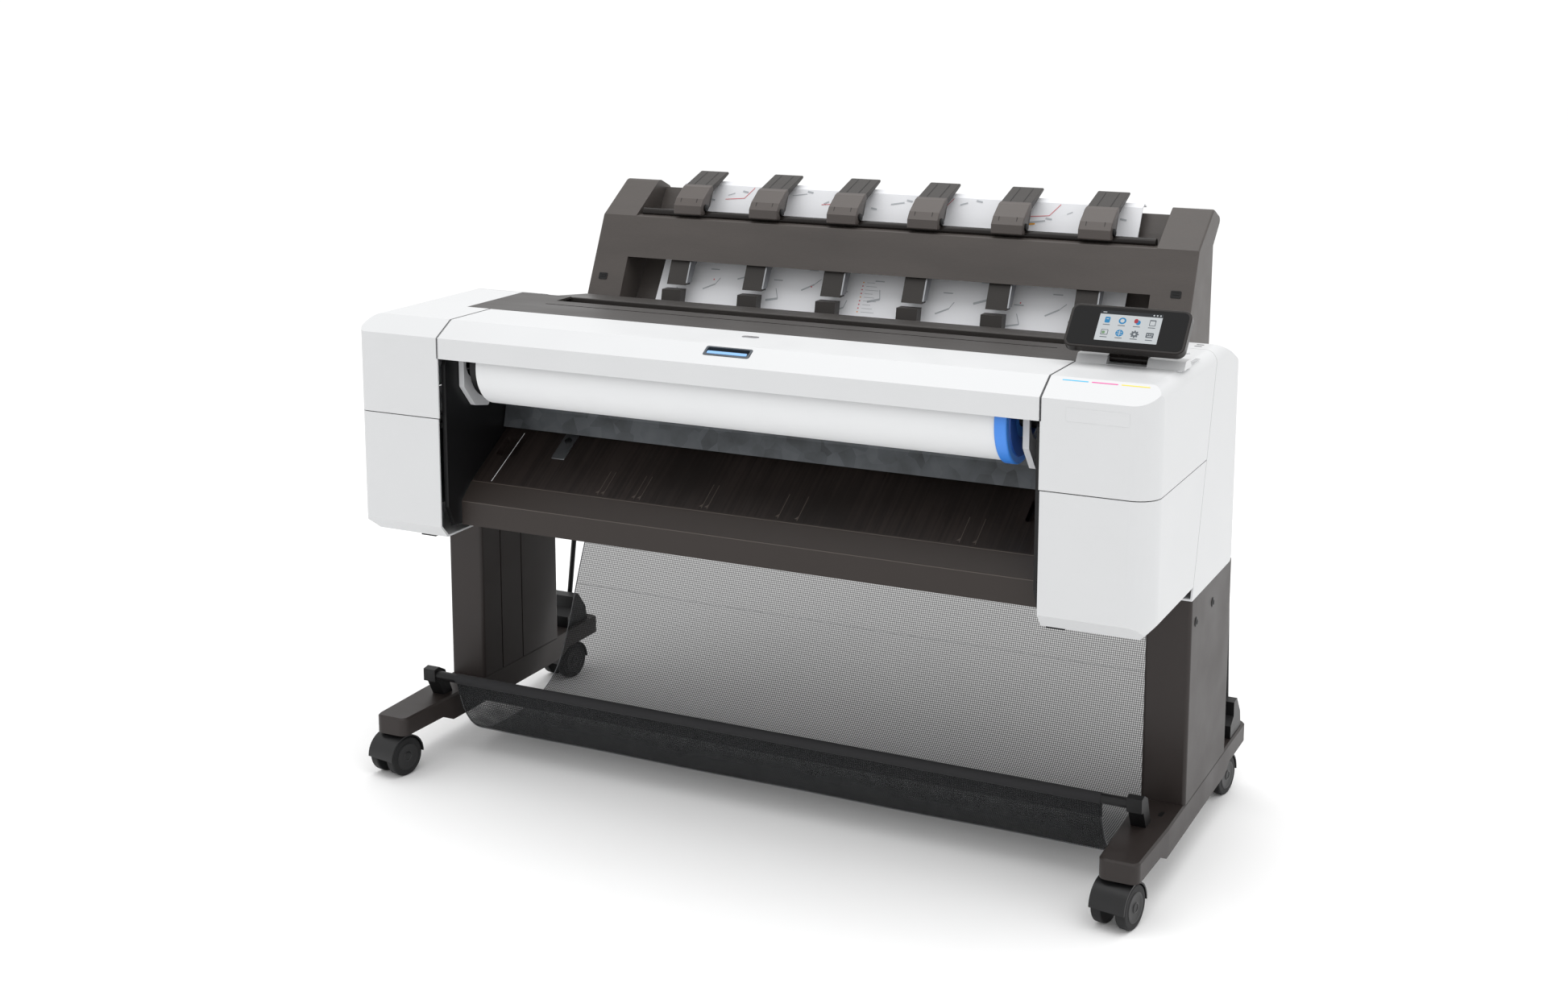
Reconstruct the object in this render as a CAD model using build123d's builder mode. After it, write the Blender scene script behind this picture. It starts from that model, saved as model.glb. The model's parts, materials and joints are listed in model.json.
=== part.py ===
from build123d import *
import os
from math import atan2, cos, degrees, radians, sin, tan

# Large format plotter on a wheeled stand, with a top stacker and a mesh basket.
# Frame: millimetres, +X to the user's right, -Y towards the user, +Z up, floor at z = 0.

# ---------------------------------------------------------------- driving dimensions
HALF_WIDTH = 695.0
FRONT_Y = -380.0
SLOPE_Y = -338.0
LID_REAR_Y = -221.0
REAR_Y = 92.0
ROOF_Z = 817.0
FRONT_TOP_Z = 792.0
SEAM_Z = 654.0
SKIRT_TOP_Z = 466.0
BODY_BOTTOM_Z = 445.0
SKIRT_INSET = 18.0
BAY_LEFT_X = -532.0
BAY_RIGHT_X = 522.0
WALL = 3.0
SHEET = 1.5
GAP = 1.6
NOTCH_GAP = 0.8
LEFT_CORNER_RADIUS = 15.0
RIGHT_CORNER_RADIUS = 38.0
ROOF_EDGE_RADIUS = 20.0
SIDE_SEAM_TOP_Y = -44.0
SIDE_SEAM_SLOPE = 0.292
LEFT_ROOF_REAR_Y = -43.0
RIGHT_ROOF_REAR_Y = 4.0
SHOULDER_Z = 780.0

TOP_COVER_HALF = 580.0
TOP_COVER_REAR_Y = -48.0
SLOT_FRONT_Y = -98.0
SLOT_LEFT_X = -476.0
SLOT_RIGHT_X = 464.0
LID_BOTTOM_Z = 757.0
LID_THICKNESS = 4.0

ROLL_Y = -295.0
ROLL_Z = 740.0
ROLL_RADIUS = 67.0
STOP_RADIUS = 71.0
ROLL_LEFT_X = -468.0
ROLL_WIDTH = 914.0
CORE_RADIUS = 28.0
SHAFT_RADIUS = 14.0
BRACKET_BORE = 30.0

LEG_IN_X = 620.0
LEG_OUT_X = 692.0
LEG_FRONT_Y = -140.0
LEG_REAR_Y = 112.0
LEG_TOP_Z = 443.0
LEG_WALL = 3.0
FOOT_WALL = 4.0
FOOT_TOP_Z = 108.0
FOOT_BOTTOM_Z = 76.0
FOOT_LOW_Z = 62.0
LEG_SCREWS = [(-10.0, 402.0), (-112.0, 400.0)]
SCREW_HOLE_RADIUS = 5.0
FOOT_FRONT_Y = -379.0
FOOT_REAR_Y = 263.0

STEM_X = 656.0
STEM_FRONT_Y = -336.0
STEM_REAR_Y = 215.0
STEM_RADIUS = 6.0
STEM_CLEARANCE = 0.05
TRAIL = 23.0
CASTER_YAW = -10.0
WHEEL_RADIUS = 34.5
WHEEL_WIDTH = 17.0
WHEEL_SPACING = 40.0
AXLE_RADIUS = 4.0

FOLD_Y = 248.0
FOLD_Z = 928.0
STACKER_LEAN = atan2(73.0, 161.0)
STACKER_HALF = 585.0
CHEEK_IN_X = 512.0
CLIP_PITCH = 160.0
CLIP_COUNT = 6
CLIP_WIDTH = 56.0
ARM_WIDTH = 40.0
CLIP_PIN_Y = 258.0
CLIP_PIN_Z = 944.0

BAR_Y = -262.0
BAR_Z = 150.0
BAR_RADIUS = 8.0
REAR_BAR_Y = 245.0
REAR_BAR_Z = 430.0
MESH_HALF = 595.0
MESH_THICKNESS = 3.0

DISPLAY_X = 602.0
DISPLAY_Y = -224.0
DISPLAY_Z = 874.0
DISPLAY_TILT = 43.4
DISPLAY_WIDTH = 184.5
DISPLAY_HEIGHT = 77.0
DISPLAY_THICKNESS = 14.0
BARREL_Y = -204.0
BARREL_Z = 823.5
BARREL_RADIUS = 6.0
BUTTON_X = 655.0
BUTTON_Y = -90.0
BUTTON_RADIUS = 7.0

CARRIAGE_X = 120.0
PULLEY_RADIUS = 12.0
PULLEY_X = 492.0
BELT_Y = -52.0
BELT_Z = 792.0
FEED_Y = -152.0
FEED_Z = 702.0
FEED_RADIUS = 18.0
PINCH_RADIUS = 8.0

CLIP_CENTRES = [(i - (CLIP_COUNT - 1) / 2) * CLIP_PITCH for i in range(CLIP_COUNT)]


def save(part, label):
    """Name a finished piece and write its STEP file."""
    part.label = label
    export_step(part, f"parts/{label}.step")


def side_seam_y(z):
    """Where the leaning seam between the end housings and the rear covers lies at height z."""
    return SIDE_SEAM_TOP_Y - (ROOF_Z - z) * SIDE_SEAM_SLOPE


def end_block(inner_x, outer_x, profile, corner_radius, edge_radius, bevel):
    """Solid with a side profile, a round front corner in plan, and a round roof edge and bevelled foot."""
    reach = 500.0
    side = 1 if outer_x > inner_x else -1
    width = abs(outer_x - inner_x)
    top_z = max(z for _, z in profile)
    low_z = min(z for _, z in profile)
    front_y = min(y for y, _ in profile)
    with BuildPart() as block:
        with BuildSketch(Plane.YZ.offset(inner_x)):
            with BuildLine():
                Polyline(*profile, close=True)
            make_face()
        extrude(amount=outer_x - inner_x)
        with BuildSketch(Plane.XY.offset(low_z - 1)):
            with BuildLine():
                Line((inner_x, reach), (inner_x, front_y))
                Line((inner_x, front_y), (outer_x - side * corner_radius, front_y))
                RadiusArc((outer_x - side * corner_radius, front_y), (outer_x, front_y + corner_radius),
                          -side * corner_radius)
                Line((outer_x, front_y + corner_radius), (outer_x, reach))
                Line((outer_x, reach), (inner_x, reach))
            make_face()
        extrude(amount=top_z - low_z + 2, mode=Mode.INTERSECT)
        with BuildSketch(Plane.XZ.offset(reach)):
            with BuildLine():
                if edge_radius:
                    Line((inner_x, low_z), (inner_x, top_z))
                    Line((inner_x, top_z), (outer_x - side * edge_radius, top_z))
                    RadiusArc((outer_x - side * edge_radius, top_z), (outer_x, top_z - edge_radius),
                              side * edge_radius)
                    Line((outer_x, top_z - edge_radius), (outer_x, low_z))
                    Line((outer_x, low_z), (inner_x, low_z))
                else:
                    Polyline((inner_x, low_z), (inner_x, top_z), (outer_x, top_z),
                             (outer_x, low_z + bevel), (outer_x - side * min(bevel, width), low_z),
                             close=True)
            make_face()
        extrude(amount=-2 * reach, mode=Mode.INTERSECT)
    return block.part


def upper_housing(inner_x, outer_x, corner_radius, label):
    """Upper end housing: a shell with a front, a slope, a roof and an outer side, open inwards and below."""
    side = 1 if outer_x > inner_x else -1
    seam = SEAM_Z + GAP / 2
    outer = [(FRONT_Y, seam), (FRONT_Y, FRONT_TOP_Z), (SLOPE_Y, ROOF_Z), (SIDE_SEAM_TOP_Y - GAP, ROOF_Z),
             (side_seam_y(seam) - GAP, seam)]
    inner = [(FRONT_Y + WALL, seam - 10), (FRONT_Y + WALL, FRONT_TOP_Z - 2), (SLOPE_Y + 1, ROOF_Z - WALL),
             (REAR_Y, ROOF_Z - WALL), (REAR_Y, seam - 10)]
    shell = end_block(inner_x, outer_x, outer, corner_radius, ROOF_EDGE_RADIUS, 0)
    hollow = end_block(inner_x - side, outer_x - side * WALL, inner, corner_radius - WALL,
                       ROOF_EDGE_RADIUS - WALL, 0)
    cover_half = TOP_COVER_HALF + GAP
    with BuildPart() as housing:
        add(shell)
        add(hollow, mode=Mode.SUBTRACT)
        with BuildSketch(Plane.XY.offset(ROOF_Z - 10)):
            with Locations((side * (abs(inner_x) + cover_half) / 2, (LID_REAR_Y + NOTCH_GAP + REAR_Y) / 2)):
                Rectangle(cover_half - abs(inner_x), REAR_Y - LID_REAR_Y - NOTCH_GAP)
            if side > 0:
                with Locations((BUTTON_X, BUTTON_Y)):
                    Circle(BUTTON_RADIUS + 0.3)
        extrude(amount=20, mode=Mode.SUBTRACT)
    save(housing.part, label)


def ink_door(inner_x, outer_x, corner_radius, label):
    """Lower end cover: an L-shaped shell with a floor and a bevelled skirt, which opens as a door."""
    side = 1 if outer_x > inner_x else -1
    seam = SEAM_Z - GAP / 2
    start_x = inner_x + side * GAP
    outer = [(FRONT_Y + SKIRT_INSET, BODY_BOTTOM_Z), (FRONT_Y, SKIRT_TOP_Z), (FRONT_Y, seam),
             (side_seam_y(seam) - GAP, seam), (side_seam_y(BODY_BOTTOM_Z) - GAP, BODY_BOTTOM_Z)]
    floor_z = BODY_BOTTOM_Z + WALL
    inner = [(FRONT_Y + SKIRT_INSET + WALL, floor_z), (FRONT_Y + WALL, SKIRT_TOP_Z + 1),
             (FRONT_Y + WALL, seam + 10), (0, seam + 10), (0, floor_z)]
    bevel = SKIRT_TOP_Z - BODY_BOTTOM_Z
    shell = end_block(start_x, outer_x, outer, corner_radius, 0, bevel)
    hollow = end_block(start_x - side, outer_x - side * WALL, inner, corner_radius - WALL, 0, bevel)
    with BuildPart() as door:
        add(shell)
        add(hollow, mode=Mode.SUBTRACT)
    save(door.part, label)


def rear_end_cover(inner_x, outer_x, roof_rear_y, label):
    """Rear end cover behind the leaning seam: outer side, sloping roof, back and bottom."""
    side = 1 if outer_x > inner_x else -1
    low_z = LEG_TOP_Z + GAP
    outer = [(side_seam_y(low_z), low_z), (SIDE_SEAM_TOP_Y, ROOF_Z), (roof_rear_y, ROOF_Z),
             (REAR_Y, SHOULDER_Z), (REAR_Y, low_z)]
    inner = [(-300, low_z + WALL), (-300, ROOF_Z - WALL), (roof_rear_y - 1, ROOF_Z - WALL),
             (REAR_Y - WALL, SHOULDER_Z - WALL), (REAR_Y - WALL, low_z + WALL)]
    with BuildPart() as cover:
        with BuildSketch(Plane.YZ.offset(inner_x)) as outline:
            with BuildLine():
                Polyline(*outer, close=True)
            make_face()
            fillet(outline.vertices().sort_by(Axis.X)[-2:], 12)
        extrude(amount=outer_x - inner_x)
        with BuildSketch(Plane.XZ.offset(-400)):
            with BuildLine():
                Line((inner_x, low_z), (inner_x, ROOF_Z))
                Line((inner_x, ROOF_Z), (outer_x - side * ROOF_EDGE_RADIUS, ROOF_Z))
                RadiusArc((outer_x - side * ROOF_EDGE_RADIUS, ROOF_Z), (outer_x, ROOF_Z - ROOF_EDGE_RADIUS),
                          side * ROOF_EDGE_RADIUS)
                Line((outer_x, ROOF_Z - ROOF_EDGE_RADIUS), (outer_x, low_z))
                Line((outer_x, low_z), (inner_x, low_z))
            make_face()
        extrude(amount=800, mode=Mode.INTERSECT)
        with BuildSketch(Plane.YZ.offset(inner_x - side)):
            with BuildLine():
                Polyline(*inner, close=True)
            make_face()
        extrude(amount=outer_x - inner_x - side * (ROOF_EDGE_RADIUS - 1), mode=Mode.SUBTRACT)
        with BuildSketch(Plane.YZ.offset(outer_x - side * ROOF_EDGE_RADIUS)):
            with BuildLine():
                Polyline((-300, low_z + WALL), (-300, ROOF_Z - ROOF_EDGE_RADIUS),
                         (REAR_Y - WALL, SHOULDER_Z - ROOF_EDGE_RADIUS), (REAR_Y - WALL, low_z + WALL),
                         close=True)
            make_face()
        extrude(amount=side * (ROOF_EDGE_RADIUS - WALL), mode=Mode.SUBTRACT)
        with BuildSketch(Plane.XY.offset(ROOF_Z - 10)):
            with Locations((side * (TOP_COVER_HALF + GAP + 500) / 2, SIDE_SEAM_TOP_Y - 4)):
                Rectangle(TOP_COVER_HALF + GAP - 500, 12)
        extrude(amount=20, mode=Mode.SUBTRACT)
        if side > 0:
            with BuildSketch(Plane.XZ.offset(-REAR_Y - 1)):
                with Locations((580, 500)):
                    Rectangle(31, 25)
            extrude(amount=WALL + 3, mode=Mode.SUBTRACT)
    save(cover.part, label)


def roll_cover():
    """Hinged cover over the roll: a bent sheet with a rolled rear edge and a window for the handle."""
    slope_angle = degrees(atan2(ROOF_Z - FRONT_TOP_Z, SLOPE_Y - FRONT_Y))
    with BuildPart() as lid:
        with BuildSketch(Plane.YZ.offset(BAY_LEFT_X + GAP)) as section:
            with BuildLine():
                Polyline((FRONT_Y, LID_BOTTOM_Z), (FRONT_Y, FRONT_TOP_Z), (SLOPE_Y, ROOF_Z),
                         (LID_REAR_Y, ROOF_Z), (LID_REAR_Y, ROOF_Z - LID_THICKNESS),
                         (SLOPE_Y + 1.2, ROOF_Z - LID_THICKNESS),
                         (FRONT_Y + LID_THICKNESS, FRONT_TOP_Z - 2.3),
                         (FRONT_Y + LID_THICKNESS, LID_BOTTOM_Z), close=True)
            make_face()
            fillet(section.vertices().group_by(Axis.Y)[-1].sort_by(Axis.X)[0], 3)
        extrude(amount=BAY_RIGHT_X - BAY_LEFT_X - 2 * GAP)
        middle = ((SLOPE_Y + FRONT_Y) / 2 + 7, (ROOF_Z + FRONT_TOP_Z) / 2 + 4.2)
        slope = Plane(origin=(0, middle[0], middle[1]), x_dir=(1, 0, 0),
                      z_dir=(0, -sin(radians(slope_angle)), cos(radians(slope_angle))))
        with BuildSketch(slope):
            RectangleRounded(82, 22, 4)
        extrude(amount=10, both=True, mode=Mode.SUBTRACT)
    save(lid.part, "roll_cover")
    with BuildPart() as handle:
        with BuildSketch(slope.offset(0.6)):
            RectangleRounded(81, 21, 3.5)
        extrude(amount=-9)
        with BuildSketch(slope.offset(0.6)):
            with Locations((0, 1)):
                RectangleRounded(74, 14, 3)
        extrude(amount=-6, mode=Mode.SUBTRACT)
    save(handle.part, "cover_handle")


def top_cover():
    """Dark roof panel behind the roll cover, notched at the back for the output slot."""
    with BuildPart() as cover:
        with BuildSketch(Plane.XY.offset(ROOF_Z - LID_THICKNESS)):
            with BuildLine():
                Polyline((-TOP_COVER_HALF, LID_REAR_Y + 1.5), (TOP_COVER_HALF, LID_REAR_Y + 1.5),
                         (TOP_COVER_HALF, TOP_COVER_REAR_Y), (SLOT_RIGHT_X, TOP_COVER_REAR_Y),
                         (SLOT_RIGHT_X, SLOT_FRONT_Y), (SLOT_LEFT_X, SLOT_FRONT_Y),
                         (SLOT_LEFT_X, TOP_COVER_REAR_Y), (-TOP_COVER_HALF, TOP_COVER_REAR_Y), close=True)
            make_face()
        extrude(amount=LID_THICKNESS)
        groove_middle = (SLOT_LEFT_X + SLOT_RIGHT_X) / 2
        with BuildSketch(Plane.XY.offset(ROOF_Z)):
            with Locations((groove_middle, SLOT_FRONT_Y - 35)):
                Rectangle(SLOT_RIGHT_X - SLOT_LEFT_X, 4)
        extrude(amount=-2.5, mode=Mode.SUBTRACT)
    save(cover.part, "top_cover")


def output_ramp():
    """Plate that carries each print from the output slot back to the stacker."""
    with BuildPart() as ramp:
        front_y = TOP_COVER_REAR_Y + 0.5
        with BuildSketch(Plane.YZ.offset(-CHEEK_IN_X + 1)) as section:
            with BuildLine():
                Polyline((front_y, 806), (front_y, ROOF_Z - 1), (60, 804), (186, 774), (186, 770),
                         (60, 800), (front_y + 4, ROOF_Z - 5), (front_y + 4, 806), close=True)
            make_face()
            fillet(section.vertices().sort_by(Axis.Y)[-1], 2)
        extrude(amount=2 * CHEEK_IN_X - 2)
    save(ramp.part, "output_ramp")


def body_frame():
    """Bottom pan, centre rear cover, roll bay side plates and guide plate."""
    with BuildPart() as pan:
        with BuildSketch(Plane.YZ.offset(BAY_LEFT_X + 1)):
            with BuildLine():
                Polyline((-150, 446), (-150, 470), (-147, 470), (-147, 449), (82, 449), (82, 470),
                         (85, 470), (85, 446), close=True)
            make_face()
        extrude(amount=BAY_RIGHT_X - BAY_LEFT_X - 2)
    save(pan.part, "base_frame")

    with BuildPart() as rear:
        with BuildSketch(Plane.XZ.offset(-REAR_Y)):
            with Locations(((BAY_LEFT_X + BAY_RIGHT_X) / 2, 612)):
                Rectangle(BAY_RIGHT_X - BAY_LEFT_X - 2 * GAP, 324)
        extrude(amount=4)
        with BuildSketch(Plane.XZ.offset(-REAR_Y)):
            with GridLocations(9, 0, 16, 1):
                with Locations((-300, 700)):
                    SlotOverall(60, 4, rotation=90)
        extrude(amount=4, mode=Mode.SUBTRACT)
    save(rear.part, "rear_cover")

    with BuildPart() as plates:
        for start_x in (BAY_LEFT_X, BAY_RIGHT_X - 8):
            with BuildSketch(Plane.YZ.offset(start_x)):
                with BuildLine():
                    Polyline((-352, 464), (-370, 500), (-370, 745), (-336, 806), (-155, 806), (-155, 464),
                             close=True)
                make_face()
                with Locations((ROLL_Y, ROLL_Z)):
                    Circle(SHAFT_RADIUS + 3, mode=Mode.SUBTRACT)
            extrude(amount=8)
    save(plates.part, "side_plates")

    with BuildPart() as guide:
        with BuildSketch(Plane.YZ.offset(BAY_LEFT_X + 10)):
            with BuildLine():
                Polyline((-204, 606), (-196, 640), (-196, 700), (-175, 722), (-173, 720), (-194, 699),
                         (-194, 640), (-202, 606), close=True)
            make_face()
        extrude(amount=BAY_RIGHT_X - BAY_LEFT_X - 20)
    save(guide.part, "guide_plate")


def front_tray():
    """Front output tray: a sloping bed, a fold, a bevel and a front lip, with two pockets."""
    length = BAY_RIGHT_X - BAY_LEFT_X - 20
    with BuildPart() as tray:
        with BuildSketch(Plane.YZ.offset(BAY_LEFT_X + 12)) as section:
            with BuildLine():
                Polyline((-160, 626), (-307, 533), (-338, 505), (-338, 463), (-334, 463), (-334, 502),
                         (-304, 529), (-160, 620), close=True)
            make_face()
            fillet(section.vertices().sort_by(Axis.X)[0:2].sort_by(Axis.Y)[-1], 3)
        extrude(amount=length)
        bed = Plane(origin=(0, -233, 579.8), x_dir=(1, 0, 0), z_dir=(0, -93, 147))
        with BuildSketch(bed):
            with Locations((-488, 0), (478, 0)):
                RectangleRounded(40, 46, 4)
        extrude(amount=-30, both=True, mode=Mode.SUBTRACT)
        with BuildSketch(bed.offset(-3)):
            with Locations((-488, 0), (478, 0)):
                RectangleRounded(48, 54, 4)
        extrude(amount=-14)
        with BuildSketch(bed.offset(1)):
            with Locations((-488, 0), (478, 0)):
                RectangleRounded(40, 46, 4)
        extrude(amount=-15, mode=Mode.SUBTRACT)
    save(tray.part, "front_tray")


def roll_set():
    """Paper roll, spindle with its left hub, blue stop, and the white brackets that carry them."""
    right_x = ROLL_LEFT_X + ROLL_WIDTH
    centre = (ROLL_Y, ROLL_Z)
    with BuildPart() as roll:
        with BuildSketch(Plane.YZ.offset(ROLL_LEFT_X)):
            with Locations(centre):
                Circle(ROLL_RADIUS)
                Circle(CORE_RADIUS, mode=Mode.SUBTRACT)
        extrude(amount=ROLL_WIDTH)
    save(roll.part, "paper_roll")

    with BuildPart() as spindle:
        with BuildSketch(Plane.YZ.offset(BAY_LEFT_X + 1)):
            with Locations(centre):
                Circle(SHAFT_RADIUS)
        extrude(amount=BAY_RIGHT_X - BAY_LEFT_X - 2)
        with BuildSketch(Plane.YZ.offset(ROLL_LEFT_X)):
            with Locations(centre):
                Circle(CORE_RADIUS)
        extrude(amount=30)
        with BuildSketch(Plane.YZ.offset(ROLL_LEFT_X)):
            with Locations(centre):
                Circle(ROLL_RADIUS - 6)
        extrude(amount=-18, taper=8)
    save(spindle.part, "spindle")

    with BuildPart() as stop:
        with BuildSketch(Plane.YZ.offset(right_x)):
            with Locations(centre):
                Circle(STOP_RADIUS)
                Circle(SHAFT_RADIUS, mode=Mode.SUBTRACT)
        extrude(amount=20)
        fillet(stop.edges().filter_by(GeomType.CIRCLE).sort_by(SortBy.LENGTH)[-2:], 3)
        with BuildSketch(Plane.YZ.offset(right_x - 24)):
            with Locations(centre):
                Circle(CORE_RADIUS)
                Circle(SHAFT_RADIUS, mode=Mode.SUBTRACT)
        extrude(amount=24)
    save(stop.part, "blue_stop")

    with BuildPart() as brackets:
        for start_x in (BAY_LEFT_X + 9, BAY_RIGHT_X - 42):
            with BuildSketch(Plane.YZ.offset(start_x)) as section:
                with BuildLine():
                    Polyline((-332, 754), (-332, 702), (-300, 664), (-262, 657), (-240, 690), (-240, 754),
                             close=True)
                make_face()
                fillet(section.vertices(), 5)
                with Locations(centre):
                    Circle(BRACKET_BORE, mode=Mode.SUBTRACT)
            extrude(amount=10)
    save(brackets.part, "roll_brackets")


def print_engine():
    """Feed roller, pinch rollers, platen, rail, carriage, belt, pulleys and service station."""
    length = BAY_RIGHT_X - BAY_LEFT_X - 60
    start_x = BAY_LEFT_X + 30
    with BuildPart() as feed:
        with BuildSketch(Plane.YZ.offset(start_x)):
            with Locations((FEED_Y, FEED_Z)):
                Circle(FEED_RADIUS)
        extrude(amount=length)
        with BuildSketch(Plane.YZ.offset(BAY_LEFT_X + 9)):
            with Locations((FEED_Y, FEED_Z)):
                Circle(5)
        extrude(amount=BAY_RIGHT_X - BAY_LEFT_X - 18)
    save(feed.part, "feed_roller")

    with BuildPart() as pinch:
        with BuildSketch(Plane.YZ.offset(start_x)):
            with Locations((FEED_Y, FEED_Z + FEED_RADIUS + PINCH_RADIUS + 0.3)):
                Circle(3)
        extrude(amount=length)
        for index in range(10):
            with BuildSketch(Plane.YZ.offset(start_x + 30 + index * 100)):
                with Locations((FEED_Y, FEED_Z + FEED_RADIUS + PINCH_RADIUS + 0.3)):
                    Circle(PINCH_RADIUS)
            extrude(amount=30)
    save(pinch.part, "pinch_rollers")

    with BuildPart() as platen:
        with BuildSketch(Plane.YZ.offset(start_x)):
            with BuildLine():
                Polyline((-128, 726), (-120, 746), (-70, 750), (-50, 740), (-50, 736), (-70, 744),
                         (-118, 740), (-124, 724), close=True)
            make_face()
        extrude(amount=length)
    save(platen.part, "platen")

    with BuildPart() as rail:
        with BuildSketch(Plane.YZ.offset(start_x)):
            with BuildLine():
                Polyline((-8, 734), (-8, 798), (20, 798), (20, 794), (-4, 794), (-4, 738), (20, 738),
                         (20, 734), close=True)
            make_face()
        extrude(amount=length)
    save(rail.part, "carriage_rail")

    with BuildPart() as carriage:
        with BuildSketch(Plane.XY.offset(756)):
            with Locations((CARRIAGE_X, -78)):
                RectangleRounded(130, 70, 6)
        extrude(amount=48)
        with BuildSketch(Plane.XY.offset(BELT_Z - 8)):
            with Locations((CARRIAGE_X, BELT_Y)):
                Rectangle(132, 32)
        extrude(amount=16, mode=Mode.SUBTRACT)
        with BuildSketch(Plane.XY.offset(762)):
            with Locations((CARRIAGE_X, -27)):
                Rectangle(60, 34)
        extrude(amount=14)
    save(carriage.part, "carriage")

    for side, label in ((-1, "idler_pulley"), (1, "drive_pulley")):
        with BuildPart() as pulley:
            with BuildSketch(Plane.XY.offset(BELT_Z - 5)):
                with Locations((side * PULLEY_X, BELT_Y)):
                    Circle(PULLEY_RADIUS)
            extrude(amount=10)
            with BuildSketch(Plane.XY.offset(BELT_Z - 30)):
                with Locations((side * PULLEY_X, BELT_Y)):
                    Circle(3)
            extrude(amount=40)
        save(pulley.part, label)

    with BuildPart() as belt:
        with BuildSketch(Plane.XY.offset(BELT_Z - 3)):
            with Locations((0, BELT_Y)):
                SlotCenterToCenter(2 * PULLEY_X, 2 * PULLEY_RADIUS + 3)
                SlotCenterToCenter(2 * PULLEY_X, 2 * PULLEY_RADIUS + 0.6, mode=Mode.SUBTRACT)
        extrude(amount=6)
    save(belt.part, "drive_belt")

    with BuildPart() as service:
        with BuildSketch(Plane.XY.offset(690)):
            with Locations((450, -78)):
                RectangleRounded(110, 60, 5)
        extrude(amount=44)
    save(service.part, "service_station")


def electronics():
    """Power supply, main electronics box, mains inlet, ink cartridges and the power button."""
    with BuildPart() as supply:
        with BuildSketch(Plane.XY.offset(450)):
            with Locations((300, -20)):
                Rectangle(260, 130)
        extrude(amount=62)
        chamfer(supply.edges().filter_by(Axis.Z), 2)
        offset(amount=-SHEET, openings=supply.faces().sort_by(Axis.Z)[-1])
    save(supply.part, "power_supply")

    with BuildPart() as box:
        with BuildSketch(Plane.XY.offset(450)):
            with Locations((-250, -20)):
                Rectangle(340, 150)
        extrude(amount=90)
        chamfer(box.edges().filter_by(Axis.Z), 2)
        offset(amount=-SHEET, openings=box.faces().sort_by(Axis.Z)[-1])
    save(box.part, "electronics_box")

    with BuildPart() as inlet:
        with BuildSketch(Plane.XZ.offset(-REAR_Y - 1.5)):
            with Locations((580, 500)):
                RectangleRounded(36, 30, 2)
        extrude(amount=1.5)
        with BuildSketch(Plane.XZ.offset(-REAR_Y)):
            with Locations((580, 500)):
                Rectangle(30, 24)
        extrude(amount=24)
        with BuildSketch(Plane.XZ.offset(-REAR_Y - 1.5)):
            with Locations((580, 500)):
                RectangleRounded(24, 16, 2)
        extrude(amount=16, mode=Mode.SUBTRACT)
        with BuildSketch(Plane.XZ.offset(-REAR_Y + 14)):
            with Locations((573, 499), (580, 502), (587, 499)):
                Rectangle(2, 5)
        extrude(amount=-12)
    save(inlet.part, "power_inlet")

    with BuildPart() as inks:
        for centre_x in (-612, 600):
            with BuildSketch(Plane.XZ.offset(220)):
                with Locations((centre_x, 560)):
                    with GridLocations(36, 0, 3, 1):
                        RectangleRounded(30, 130, 3)
            extrude(amount=130)
    save(inks.part, "ink_cartridges")

    with BuildPart() as button:
        with BuildSketch(Plane.XY.offset(ROOF_Z - 8)):
            with Locations((BUTTON_X, BUTTON_Y)):
                Circle(BUTTON_RADIUS)
        extrude(amount=10.5)
        fillet(button.edges().filter_by(GeomType.CIRCLE).sort_by(Axis.Z)[-1], 1)
    save(button.part, "power_button")


def display():
    """Tilting touch panel with its arm, and the white barrel bracket that holds it."""
    lean = radians(DISPLAY_TILT)
    face = Plane(origin=(DISPLAY_X, DISPLAY_Y, DISPLAY_Z), x_dir=(1, 0, 0), z_dir=(0, -cos(lean), sin(lean)))
    with BuildPart() as panel:
        with BuildSketch(face):
            RectangleRounded(DISPLAY_WIDTH, DISPLAY_HEIGHT, 13)
        extrude(amount=-DISPLAY_THICKNESS)
        fillet(panel.faces().sort_by(Axis.Y)[0].edges(), 1.5)
        with BuildSketch(face.offset(-DISPLAY_THICKNESS)):
            with Locations((0, -4)):
                RectangleRounded(110, 44, 6)
        extrude(amount=-8, taper=12)
        with BuildSketch(Plane.YZ.offset(DISPLAY_X - 30)):
            with Locations((BARREL_Y, BARREL_Z)):
                Circle(BARREL_RADIUS)
            with BuildLine():
                Polyline((BARREL_Y - 5, BARREL_Z + 1), (BARREL_Y + 4, BARREL_Z + 3), (-209, 858),
                         (-222, 846), close=True)
            make_face()
        extrude(amount=60)
    save(panel.part, "display_panel")

    with BuildPart() as bracket:
        with BuildSketch(Plane.YZ.offset(DISPLAY_X - 78)) as section:
            with BuildLine():
                Polyline((BARREL_Y - 22, ROOF_Z), (BARREL_Y - 12, BARREL_Z + 6),
                         (BARREL_Y + 12, BARREL_Z + 6), (BARREL_Y + 20, ROOF_Z), close=True)
            make_face()
            fillet(section.vertices().sort_by(Axis.Y)[-2:], 5)
        extrude(amount=166)
        with BuildSketch(Plane.XY.offset(ROOF_Z + 0.4)):
            with Locations((DISPLAY_X, BARREL_Y)):
                Rectangle(62, 60)
        extrude(amount=30, mode=Mode.SUBTRACT)
    save(bracket.part, "display_bracket")


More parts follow.
